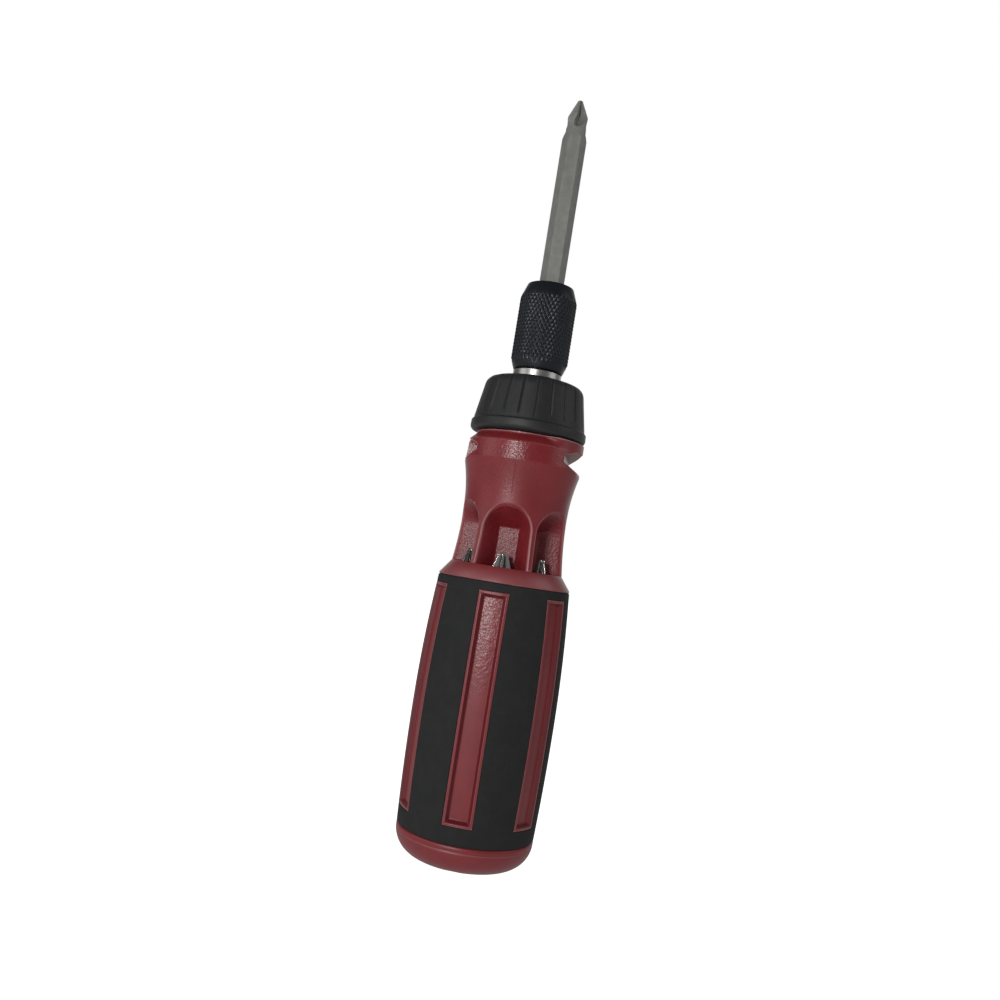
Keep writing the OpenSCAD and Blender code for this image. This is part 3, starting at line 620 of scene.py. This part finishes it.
def head_radius(z):
    """Outside radius of the head before its windows and notches, for an array of heights."""
    low = bow(WAIST_R, SILL_R, (WAIST_Z - z) / (WAIST_Z - SILL_Z))
    high = bow(WAIST_R, SHOULDER_R, (z - WAIST_Z) / (SHOULDER_Z0 - WAIST_Z))
    band = SHOULDER_R - 0.3 * (z - SHOULDER_Z0) / (SHOULDER_Z1 - SHOULDER_Z0)
    chamfer = SHOULDER_TOP_R + (NECK_R - SHOULDER_TOP_R) * (z - SHOULDER_Z1) / (CHAMFER_TOP - SHOULDER_Z1)
    return np.select([z < WAIST_Z, z < SHOULDER_Z0, z < SHOULDER_Z1, z < CHAMFER_TOP],
                     [low, high, band, chamfer], NECK_R)


def window_depth(turn, z):
    """Radius at which a ray from the axis enters the nearest window."""
    pitch = 2 * math.pi / STORE_N
    off = np.abs((turn + math.pi / 2 + pitch / 2) % pitch - pitch / 2)
    near = np.full_like(off, 6.0)
    far = np.full_like(off, 26.0)
    for _ in range(BISECTIONS):
        r = (near + far) / 2
        depth = np.maximum(r * np.cos(off) - WINDOW_BACK_Y, 0)
        half = WINDOW_BACK_HALF + WINDOW_SLOPE * depth
        top = WINDOW_BACK_TOP + WINDOW_RISE * depth
        corner = ARCH_RATE * depth
        side = np.maximum(r * np.sin(off) - (half - corner), 0)
        rise = np.maximum(z - (top - corner), 0)
        inside = (r * np.cos(off) > WINDOW_BACK_Y) & (side * side + rise * rise <= corner * corner)
        far = np.where(inside, r, far)
        near = np.where(inside, near, r)
    return far


def notch_depth(turn, z):
    """Radius at which a ray from the axis enters a shoulder notch; the left one stops at a wall."""
    across = np.maximum(np.abs(np.cos(turn)), 0.05)
    depth = (NOTCH_APEX + np.maximum(np.abs(z - NOTCH_Z) - NOTCH_ROUND, 0) / NOTCH_FLARE) / across
    return np.where((np.cos(turn) < 0) & (np.sin(turn) > 0.03), NO_CUT, depth)


def rolled(outer, cut, turn, z):
    """The outer radius drawn in to a cut, with the cut's rim rolled over."""
    step = 0.02
    gap = cut(turn, z) - outer
    slope = np.hypot((cut(turn + step / outer, z) - outer - gap) / step,
                     (cut(turn, z + step) - head_radius(z + step) - gap) / step)
    away = np.clip(gap / np.maximum(slope, 0.5), 0, RIM_ROUND)
    sunk = RIM_ROUND - np.sqrt(RIM_ROUND ** 2 - (RIM_ROUND - away) ** 2)
    return np.minimum(outer - sunk, cut(turn, z))


print("window at the surface", round(float(window_depth(np.array([-math.pi / 2]), np.array([90.0]))[0]), 2))


# %% The head: its skin
def handle_head():
    """The red head: windows, waist, shoulder, notches and neck."""
    fine, plain = 0.2, 0.7
    heights = (levels(LEDGE_Z, WINDOW_Z + 1.2, fine) + levels(WINDOW_Z + 1.2, SHOULDER_Z0 - 0.4, plain)
               + levels(SHOULDER_Z0 - 0.4, SHOULDER_Z1 + 0.3, fine)
               + levels(SHOULDER_Z1 + 0.3, NECK_Z, 0.3))
    outer = head_radius(np.array(heights))
    foot_r, socket_r, socket_z = 7.0, 7.2, NECK_Z - 25.6
    outline = ([(0, LEDGE_Z), (foot_r, LEDGE_Z)] + list(zip(outer, heights))
               + [(NECK_R, NECK_Z), (socket_r, NECK_Z), (socket_r, socket_z), (0, socket_z)])
    bm = turned(outline, HEAD_COLUMNS)
    skin = [v for v in bm.verts if v.co.xy.length > socket_r + 1]
    turn = np.array([math.atan2(v.co.y, v.co.x) for v in skin])
    z = np.array([v.co.z for v in skin])
    r = np.array([v.co.xy.length for v in skin])
    lug_end = np.radians(LUG_END + LUG_LEAN * (z - SHOULDER_Z1) / (NECK_Z - SHOULDER_Z1))
    lug = np.clip((lug_end - np.abs(turn)) / LUG_BLEND + 0.5, 0, 1)
    lug = np.where((z > SHOULDER_Z1 - 0.01) & (r > NECK_R - 0.1), lug * lug * (3 - 2 * lug), 0)
    r = r + (SHOULDER_TOP_R - r) * lug
    with_windows = np.where(z < WINDOW_Z + 1.5, rolled(r, window_depth, turn, z), r)
    band = (z > SHOULDER_Z0 - 1) & (z < SHOULDER_Z1 + 0.6)
    final = np.where(band, rolled(with_windows, notch_depth, turn, z), with_windows)
    for v, radius, angle in zip(skin, final, turn):
        v.co.x = radius * math.cos(angle)
        v.co.y = radius * math.sin(angle)
    return finished(bm, "handle_head_moulding", RED, "handle", ["handle_head"], sharp=60)


handle_head()

# %% [markdown]
# ## The grip core
# Below the sill the red moulding is a turned body with a rounded base, a shallow groove under the rubber
# and six long bores for the bits. Six framed panels stand on it, each a curved bar with a raised rim and
# a wall that slopes down to its floor. Boolean cuts would leave those rims sharp. So a panel starts as a
# flat grid whose lines lie close together where the rim rolls over, and each point is then laid on the
# grip's curve. The bores have sharp mouths on the real part, so a Boolean cuts them.

# %% The grip core: body and bores
BASE_ROUND = 7.5
RUBBER_T = 2.0
STORE_HOLE = 3.746
GRIP_COLUMNS = 192
PANEL_HALF = 4.25
PANEL_RIM = 0.72
PANEL_WALL = 1.05
PANEL_DEPTH = 1.2
PANEL_Z0 = GRIP_Z0 + 5
PANEL_Z1 = GRIP_Z1 - 2.4


def core_body():
    """The turned red body with its bit bores."""
    base = arc(BASE_R - BASE_ROUND, BASE_ROUND, BASE_ROUND, -90, -5, 16)
    groove_r = BASE_R - 0.12
    groove = [(groove_r, GRIP_Z0 - 1.45), (groove_r, GRIP_Z0 - 1.35), (BASE_R, GRIP_Z0 - 1.1)]
    seat = [(grip_radius(z) - RUBBER_T, z) for z in levels(GRIP_Z0, GRIP_Z1, 4) + [GRIP_Z1]]
    lip = arc(GRIP_TOP_R - 0.3, GRIP_Z1 + 0.3, 0.3, -90, 0, 4)
    sill = arc(SILL_R - 0.25, LEDGE_Z - 0.3, 0.3, 30, 90, 4)
    flat = [(r, 0) for r in levels(0, BASE_R - BASE_ROUND, 1)]
    below_seat = [(BASE_R, GRIP_Z0 - 0.2), (BASE_R - 0.2, GRIP_Z0)]
    outline = flat + base + groove + below_seat + seat + lip + sill + [(0, LEDGE_Z)]
    bm = turned(outline, GRIP_COLUMNS)
    bores = bmesh.new()
    bmesh.ops.create_cone(bores, cap_ends=True, segments=48, radius1=STORE_HOLE, radius2=STORE_HOLE,
                          depth=LEDGE_Z + 2, matrix=Matrix.Translation((0, -STORE_R, LEDGE_Z / 2)))
    return carved(bm, rounds(bores, STORE_N), "DIFFERENCE")


core = core_body()
print("core", len(core.faces), "faces")

# %% The grip core: panels
RIM_EDGE = [0, 0.06, 0.16, 0.32, 0.6, 0.70, 0.76, 0.84, 0.95, 1.2, 1.45, 1.62, 1.72, 1.8, 1.9, 2.1]


def rim_sink(away):
    """Depth of a panel's face at a distance from its border."""
    edge = 0.32
    if away < edge:
        return edge - math.sqrt(edge * edge - (edge - away) ** 2)
    t = min(1, max(0, (away - PANEL_RIM) / PANEL_WALL))
    return PANEL_DEPTH * (t + 0.35 * t * (1 - t) * (2 * t - 1))


def panel():
    """One framed panel of the grip, facing -Y."""
    across = [-PANEL_HALF + d for d in RIM_EDGE] + [0] + [PANEL_HALF - d for d in reversed(RIM_EDGE)]
    along = ([PANEL_Z0 + d for d in RIM_EDGE] + levels(PANEL_Z0 + 3, PANEL_Z1 - 3, 2) + [PANEL_Z1 - 3]
             + [PANEL_Z1 - d for d in reversed(RIM_EDGE)])
    bm = bmesh.new()
    columns, rows = len(across) - 1, len(along) - 1
    bmesh.ops.create_grid(bm, x_segments=columns, y_segments=rows, size=1)
    for v in bm.verts:
        x = across[round((v.co.x + 1) / 2 * columns)]
        z = along[round((v.co.y + 1) / 2 * rows)]
        away = min(PANEL_HALF - abs(x), z - PANEL_Z0, PANEL_Z1 - z)
        r = grip_radius(z) - rim_sink(away)
        v.co = (x, -math.sqrt(r * r - x * x), z)
    border = [e for e in bm.edges if e.is_boundary]
    skirt = bmesh.ops.extrude_edge_only(bm, edges=border)["geom"]
    for v in skirt:
        if isinstance(v, bmesh.types.BMVert):
            v.co.y += RUBBER_T + 0.4
    bmesh.ops.contextual_create(bm, geom=[e for e in bm.edges if e.is_boundary])
    bmesh.ops.recalc_face_normals(bm, faces=bm.faces)
    return rounds(bm, STORE_N)


panels = panel()
joined = bpy.data.meshes.new("panels")
panels.to_mesh(joined)
panels.free()
core.from_mesh(joined)
bpy.data.meshes.remove(joined)
finished(core, "grip_core_moulding", RED, "handle", ["handle_core"], sharp=50)

# %% [markdown]
# ## The rubber grip
# The rubber is a turned sleeve with six openings that the panels fill. Its two ends are rounded, and the
# openings are cut by boxes a hair wider than the panels. A Boolean is enough for these, because the
# panels hide the cut walls.


# %% The rubber grip
def rubber_grip():
    """The black sleeve round the panels."""
    inner = RUBBER_T - 0.05
    top, low = GRIP_Z1, GRIP_Z0
    heights = levels(low + 0.5, top - 0.5, 2.4) + [top - 0.5]
    skin = [(grip_radius(z), z) for z in heights]
    low_end = [(grip_radius(low) - 0.5, low), (grip_radius(low) - 0.15, low + 0.12)]
    top_end = [(grip_radius(top) - 0.15, top - 0.12), (grip_radius(top) - 0.5, top)]
    back = [(grip_radius(z) - inner, z) for z in reversed([low] + heights + [top])]
    bm = turned(low_end + skin + top_end + back, GRIP_COLUMNS, closed=True)
    gap, reach = 0.04, 14
    boxes = bmesh.new()
    bmesh.ops.create_cube(boxes, size=1)
    size = (2 * (PANEL_HALF + gap), reach, PANEL_Z1 - PANEL_Z0 + 2 * gap)
    bmesh.ops.scale(boxes, vec=size, verts=boxes.verts)
    bmesh.ops.translate(boxes, vec=(0, -GRIP_R, (PANEL_Z0 + PANEL_Z1) / 2), verts=boxes.verts)
    carved(bm, rounds(boxes, STORE_N), "DIFFERENCE")
    return finished(bm, "rubber_grip", RUBBER, "handle", ["grip_sleeve"])


rubber_grip()

# %% [markdown]
# ## The selector collar
# Twenty-two V grooves cut the collar's cone into lands. Cutting them with Booleans would leave long thin
# faces that shade badly. The collar is spun with twelve columns to a groove instead, and five of those
# columns gather at the groove: one at its bottom, two at its rims and two just outside them. That keeps
# the mesh even and the groove's edges true.

# %% The selector collar
GROOVE_N = 22
GROOVE_FIRST = math.radians(-96)
GROOVE_HALF = 0.42
GROOVE_DEPTH = 0.34
GROOVE_COLUMNS = 12


def selector():
    """The fluted black collar."""
    bead, cone, crown = COLLAR_R, COLLAR_R - 0.7, COLLAR_R - 2.3
    cone_low, cone_top = COLLAR_Z0 + 4.2, COLLAR_Z1 - 3.8
    hole, bore, roof = 5.5, 12.48, COLLAR_Z0 + 14.2
    foot = arc(bead - 1.4, COLLAR_Z0 + 1.4, 1.4, -90, 0, 8)
    rim = arc(bead - 0.4, COLLAR_Z0 + 2.8, 0.35, 0, 60, 4)
    flank = rim + [(cone + 0.16, COLLAR_Z0 + 3.35), (cone + 0.05, COLLAR_Z0 + 3.75)]
    wall = [(cone + (crown - cone) * (z - cone_low) / (cone_top - cone_low), z)
            for z in levels(cone_low, cone_top, 0.9) + [cone_top]]
    top = [(crown - 0.12, cone_top + 0.7), (crown - 0.35, cone_top + 1.4), (crown - 0.75, cone_top + 2.0),
           (crown - 1.35, cone_top + 2.55), (crown - 2.3, cone_top + 2.95), (crown - 3.3, cone_top + 3.2),
           (7.6, COLLAR_Z1)]
    inside = [(hole, COLLAR_Z1), (hole, roof), (bore, roof)]
    outline = [(bore, COLLAR_Z0)] + foot + flank + wall + top + inside
    bm = turned(outline, GROOVE_N * GROOVE_COLUMNS, closed=True)
    bmesh.ops.rotate(bm, verts=bm.verts, cent=(0, 0, 0), matrix=Matrix.Rotation(GROOVE_FIRST, 3, "Z"))
    pitch = 2 * math.pi / GROOVE_N
    gather = {0: (0, 1), 1: (1, 0), 2: (1.4, 0)}
    for v in bm.verts:
        r = v.co.xy.length
        if r < crown - 1.0 or not cone_low + 0.3 < v.co.z < cone_top + 2.2:
            continue
        turn = math.atan2(v.co.y, v.co.x)
        middle = GROOVE_FIRST + round((turn - GROOVE_FIRST) / pitch) * pitch
        column = round((turn - middle) / pitch * GROOVE_COLUMNS)
        if abs(column) not in gather:
            continue
        spread, share = gather[abs(column)]
        turn = middle + math.copysign(spread * GROOVE_HALF / r, column)
        r -= share * GROOVE_DEPTH
        v.co.x, v.co.y = r * math.cos(turn), r * math.sin(turn)
    return finished(bm, "selector_fluted", BLACK, "selector", ["selector_collar"],
                    sharp=28)


selector()

# %% [markdown]
# ## The chuck sleeve
# The sleeve's knurl is rolled: two families of slanted grooves leave rows of small pointed diamonds. A
# bump would look smooth at the outline, so the knurl is real. The sleeve is spun with eight columns to a
# diamond, and every point of the knurled band is drawn in by the deeper of the two grooves at its place.

# %% The chuck sleeve
KNURL_ROUND = 42
KNURL_PER_MM = 0.465
KNURL_DEPTH = 0.30
KNURL_COLUMNS = 8


def knurled_sleeve():
    """The blackened sleeve with its diamond knurl."""
    low_r, top_r, low_h, top_h = 7.3, 6.95, 3.3, 4.4
    z0, z1 = SLEEVE_Z0 + low_h, SLEEVE_Z1 - top_h
    knurl_z0, knurl_z1 = z0 - 2.2, z1 + 0.9
    low_slope, top_slope = (SLEEVE_R - low_r) / low_h, (SLEEVE_R - top_r) / top_h
    band = [(SLEEVE_R - max(0, (z0 - z) * low_slope, (z - z1) * top_slope), z)
            for z in levels(knurl_z0, knurl_z1, 1 / (KNURL_PER_MM * KNURL_COLUMNS)) + [knurl_z1]]
    bore, chamber, chamber_z = 5.08, 6.3, SLEEVE_Z0 + 6
    outline = ([(bore, SLEEVE_Z0), (low_r - 0.25, SLEEVE_Z0), (low_r, SLEEVE_Z0 + 0.2)]
               + band
               + [(top_r, SLEEVE_Z1 - 0.25), (top_r - 0.1, SLEEVE_Z1 - 0.07), (top_r - 0.25, SLEEVE_Z1),
                  (chamber, SLEEVE_Z1), (chamber, chamber_z), (bore, chamber_z)])
    bm = turned(outline, KNURL_ROUND * KNURL_COLUMNS, closed=True)
    for v in bm.verts:
        r = v.co.xy.length
        if r < chamber + 0.5 or not knurl_z0 < v.co.z < knurl_z1:
            continue
        across = math.atan2(v.co.y, v.co.x) / (2 * math.pi) * KNURL_ROUND
        up = (v.co.z - z0) * KNURL_PER_MM
        groove = max(abs((across + side * up) % 1 - 0.5) * 2 for side in (-1, 1))
        fade = min(1, (v.co.z - knurl_z0) / 1.8, (knurl_z1 - v.co.z) / 0.9)
        r -= KNURL_DEPTH * fade * groove ** 1.3
        turn = math.atan2(v.co.y, v.co.x)
        v.co.x, v.co.y = r * math.cos(turn), r * math.sin(turn)
    return finished(bm, "knurled_sleeve", BLACK_STEEL, "sleeve", ["chuck_sleeve"], sharp=28)


knurled_sleeve()

# %% [markdown]
# ## Spindle
# Only the bright ring and the mouth of the spindle show, and the shank too when the sleeve is raised. So
# the whole spindle is turned from one outline with its corners broken. Its socket is the hexagon of the
# bit, cut by a Boolean because its corners are sharp.

# %% Spindle
RING_R = 7.15
HEX_R = 6.35 / 2 / math.cos(math.pi / 6)
CHUCK_TURN = math.radians(7)


def hexagon(bm, corner_r, low, high):
    """A hexagon bar between two heights, with a corner on +X."""
    turn = Matrix.Translation((0, 0, (low + high) / 2)) @ Matrix.Rotation(math.pi / 6, 4, "Z")
    bmesh.ops.create_cone(bm, cap_ends=True, segments=6, radius1=corner_r, radius2=corner_r,
                          depth=high - low, matrix=turn)


def bright_spindle():
    """The turned spindle with its ring and hexagon socket."""
    shank, journal = 5.0, 4.0
    ring_z0, ring_z1 = COLLAR_Z1 + 0.08, SLEEVE_Z0 - 0.2
    journal_z, edge = ring_z0 - 13, 0.25
    outline = [(0, SPINDLE_Z0), (journal, SPINDLE_Z0), (journal, journal_z), (shank, journal_z),
               (shank, ring_z0), (RING_R - edge, ring_z0), (RING_R, ring_z0 + edge),
               (RING_R, ring_z1 - edge), (RING_R - edge, ring_z1), (shank, ring_z1),
               (shank, SPINDLE_Z1 - 0.5), (shank - 0.5, SPINDLE_Z1), (0, SPINDLE_Z1)]
    bm = turned(outline, 128)
    socket_depth, play = 27.6, 0.06
    socket = bmesh.new()
    hexagon(socket, HEX_R + play, SPINDLE_Z1 - socket_depth, SPINDLE_Z1 + 5)
    bmesh.ops.rotate(socket, verts=socket.verts, cent=(0, 0, 0), matrix=Matrix.Rotation(CHUCK_TURN, 3, "Z"))
    carved(bm, socket, "DIFFERENCE")
    return finished(bm, "turned_spindle", TURNED, "spindle", ["spindle"])


bright_spindle()

# %% [markdown]
# ## Cross bits
# A bit is a length of hexagon steel turned at both ends, so here a hexagon bar is limited by a turned
# blank: where the blank's cone meets a flat, the edge comes out as an arc, as on a real bit. The cross is
# then milled by four right-angled cutters that follow the taper of the core and rise out at the end. The
# cutters of the fitted bit also turn a little as they rise, which bends its wings.

# %% Cross bits: the flutes
BIT_LEN = 86.5
BIT_NOSE = 12.6
BIT_CONE = 2.5
CROSS_POINT = 5.2
FULL_NECK = 3.0
CORE_R = 0.36
CORE_TAPER = 0.04
RUN_OUT_R = 3.2
RUN_OUT_AT = 6.2
FLUTE_LEN = 9.4
FLUTE_STEP = 0.3
CUTTER_R = 4 * math.sqrt(2)
BEND_START, BEND_EASE = 4.5, 2


def flute_core(down, neck_r):
    """Distance of a flute's bottom from the axis, down millimetres below the tip."""
    size = neck_r / FULL_NECK
    rise = min(RUN_OUT_R, max(0, down / size - RUN_OUT_AT))
    core_r = CORE_R + CORE_TAPER * down / size
    return size * (core_r + RUN_OUT_R - math.sqrt(RUN_OUT_R ** 2 - rise ** 2))


def flute(neck_r, bend):
    """The path of a cutter that mills the flute towards +X; bend is its turn for each millimetre."""
    bm = bmesh.new()
    bmesh.ops.create_circle(bm, cap_ends=True, radius=CUTTER_R, segments=4)
    bmesh.ops.translate(bm, verts=bm.verts, vec=(flute_core(0, neck_r) + CUTTER_R, 0, BIT_LEN + FLUTE_STEP))
    face = bm.faces[:][0]
    down, turn = -FLUTE_STEP, 0
    while down < FLUTE_LEN * neck_r / FULL_NECK:
        out = flute_core(max(0, down + FLUTE_STEP), neck_r) - flute_core(max(0, down), neck_r)
        down += FLUTE_STEP
        moved = bmesh.ops.extrude_face_region(bm, geom=[face])["geom"]
        if down > 0:
            bmesh.ops.delete(bm, geom=[face], context="FACES_ONLY")
        face = next(part for part in moved if isinstance(part, bmesh.types.BMFace))
        bmesh.ops.translate(bm, verts=face.verts,
                            vec=(out * math.cos(turn), out * math.sin(turn), -FLUTE_STEP))
        step = bend * FLUTE_STEP * min(1, max(0, down - BEND_START) / BEND_EASE)
        bmesh.ops.rotate(bm, verts=face.verts, cent=(0, 0, 0), matrix=Matrix.Rotation(step, 3, "Z"))
        turn += step
    bmesh.ops.recalc_face_normals(bm, faces=bm.faces)
    return bm


print("core of a full tip", CORE_R, "to", round(flute_core(FLUTE_LEN, FULL_NECK), 2))


# %% Cross bits: the bit
def cross_bit(neck_r, end_r, wing_turn, bend):
    """A hexagon bit with a cross tip, standing on the origin."""
    hex_len = BIT_LEN - BIT_NOSE
    point_z = BIT_LEN - CROSS_POINT
    blank = turned([(0, 0), (HEX_R - 0.6, 0), (HEX_R + 0.1, 0.7), (HEX_R + 0.1, hex_len - 0.1),
                    (neck_r, hex_len + BIT_CONE), (neck_r, point_z), (end_r + 0.12, BIT_LEN - 0.12),
                    (end_r - 0.1, BIT_LEN), (0, BIT_LEN)], 96)
    bar = bmesh.new()
    hexagon(bar, HEX_R, 0, BIT_LEN)
    carved(blank, bar, "INTERSECT")
    for side in range(4):
        cutter = flute(neck_r, bend)
        bmesh.ops.rotate(cutter, verts=cutter.verts, cent=(0, 0, 0),
                         matrix=Matrix.Rotation(wing_turn + (side + 0.5) * math.pi / 2, 3, "Z"))
        carved(blank, cutter, "DIFFERENCE")
    return blank


print("bit", BIT_LEN, "long, with a nose of", BIT_NOSE)


# %% Cross bits: fitted and stored
def place_bit(bm, name, finish, body, node, place, turn):
    """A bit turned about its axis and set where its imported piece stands."""
    bmesh.ops.rotate(bm, verts=bm.verts, cent=(0, 0, 0), matrix=Matrix.Rotation(turn, 3, "Z"))
    bmesh.ops.translate(bm, verts=bm.verts, vec=place)
    return finished(bm, name, finish, body, [node], sharp=24)


def stored_place(node, place):
    """The foot and the turn of a stored bit."""
    angle = place * 2 * math.pi / STORE_N
    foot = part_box(node)[0].z / MM
    return (STORE_R * math.sin(angle), -STORE_R * math.cos(angle), foot), angle


fitted_foot = (0, 0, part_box("driver_bit")[0].z / MM)
place_bit(cross_bit(FULL_NECK, 0.6, math.radians(-12), math.radians(-9)), "fitted_cross_bit", BLASTED,
          "fitted_bit", "driver_bit", fitted_foot, CHUCK_TURN)
# window number, turn in degrees and neck radius of each stored cross bit
STORED_CROSSES = {"large": (0, 7, FULL_NECK), "small": (1, 10, 2.3), "medium": (5, 10, 2.65)}
for size, (number, turn, neck_r) in STORED_CROSSES.items():
    node = "stored_cross_" + size
    foot, angle = stored_place(node, number)
    place_bit(cross_bit(neck_r, 0.4 * neck_r, 0, 0), node + "_milled", POLISHED, node + "_bit", node,
              foot, angle + math.radians(turn))

# %% [markdown]
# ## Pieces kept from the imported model
# The other bits and the works inside already have their shapes and hardly show. Modelling them again
# would add faces and no likeness, so they only take a finish.

# %% Finishes for the kept pieces
SLOT_FINISH = {"red_plastic": RED, "grip_rubber": RUBBER, "black_plastic": BLACK, "turned_steel": TURNED,
               "black_steel": BLACK_STEEL, "bit_steel": POLISHED, "zinc_steel": ZINC, "inner_steel": INNER}
for part in frame["record"]["subparts"]:
    node = frame["nodes"][part["node"]]
    node.data.materials.clear()
    node.data.materials.append(SLOT_FINISH[part["material_slot"]])
print("kept pieces dressed")

# %% [markdown]
# ## Stage and light
# The tool is shown in the air, as if lifted, over a plain white floor that takes its shadow. Far from the
# tool the floor is plain white, so no horizon shows.

# %% Floor
FLOOR_Z = -100
FLOOR_HALF = 6
FLOOR_IN_GLOSS = 0.15
FLOOR_GLOW_NEAR = 0.62
FLOOR_FADE_START, FLOOR_FADE_END = 150, 500


def seen_rays(start, *kinds):
    """1 for the named kinds of ray, 0 for others."""
    total = start.node("LightPath", out=kinds[0])
    for kind in kinds[1:]:
        total = total + start.node("LightPath", out=kind)
    return total.maths("MINIMUM", total, 1.0)


def white_floor():
    """A wide pale floor below the tool."""
    bm = bmesh.new()
    bmesh.ops.create_grid(bm, x_segments=1, y_segments=1, size=FLOOR_HALF)
    bmesh.ops.translate(bm, vec=(0, 0, FLOOR_Z * MM), verts=bm.verts)
    floor = as_object(bm, "floor")
    bm.free()
    material, start = new_finish("floor", {"Roughness": 1.0, "Specular IOR Level": 0.0,
                                           "Base Color": (0.8, 0.8, 0.8, 1), "Emission Strength": 1.0})
    _, _, r = measures(object_place(start))
    seen = seen_rays(start, "Is Camera Ray", "Is Transmission Ray")
    seen = seen + FLOOR_IN_GLOSS * seen_rays(start, "Is Glossy Ray")
    far = r.between(FLOOR_FADE_START, FLOOR_FADE_END)
    glow = seen * (FLOOR_GLOW_NEAR + (1 - FLOOR_GLOW_NEAR) * far)
    feed(material, Emission_Color=glow.mix((0, 0, 0, 1), (1, 1, 1, 1)))
    floor.data.materials.append(material)


white_floor()
print("floor at", FLOOR_Z)

# %% [markdown]
# The room is white behind the tool and dimmer in front of it, which gives the steel something to reflect.
# A compact lamp in front, a little to the left, brings out the grain. A broad one lights the left side,
# and a small one near the top lights the right.

# %% World and lamps
LAMP_AIM = Vector((0, 0, 0.11))
# azimuth and elevation in degrees, distance and size in metres, power in watts
LAMPS = {"key": (-14, 6, 0.6, 0.12, 1.68),
         "side": (-65, 15, 1.0, 0.6, 1.4),
         "right": (85, 25, 0.5, 0.3, 0.34)}


def white_world(fill, room):
    """A world that looks white, is dimmer in front for reflections, and lights the tool gently."""
    world = bpy.data.worlds.new("world")
    world.use_nodes = True
    bpy.context.scene.world = world
    start = Wire(world.node_tree)
    direction = start.node("TexCoord", out="Generated")
    behind = start.node("SeparateXYZ", None, {0: direction}, out="Y").between(0.55, 1.0)
    seen = seen_rays(start, "Is Camera Ray", "Is Transmission Ray")
    gloss = seen_rays(start, "Is Glossy Ray")
    level = seen + gloss * (room + (1 - room) * behind) + (1 - (seen + gloss)) * fill
    background = world.node_tree.nodes["Background"]
    colour = level.mix((0, 0, 0, 1), (1, 1, 1, 1))
    world.node_tree.links.new(colour.socket, background.inputs["Color"])


def soft_lamp(name, azimuth, elevation, distance, size, power):
    """A square lamp that looks at the middle of the tool."""
    a, e = math.radians(azimuth), math.radians(elevation)
    away = Vector((math.sin(a) * math.cos(e), -math.cos(a) * math.cos(e), math.sin(e)))
    lamp = bpy.data.objects.new(name, bpy.data.lights.new(name, "AREA"))
    bpy.context.scene.collection.objects.link(lamp)
    lamp.data.size = size
    lamp.data.energy = power
    lamp.location = LAMP_AIM + away * distance
    lamp.rotation_mode = "QUATERNION"
    lamp.rotation_quaternion = away.to_track_quat("Z", "Y")


white_world(fill=0.32, room=0.12)
for name, setting in LAMPS.items():
    soft_lamp(name, *setting)
bpy.context.scene.view_settings.view_transform = "Standard"
print("stage ready")
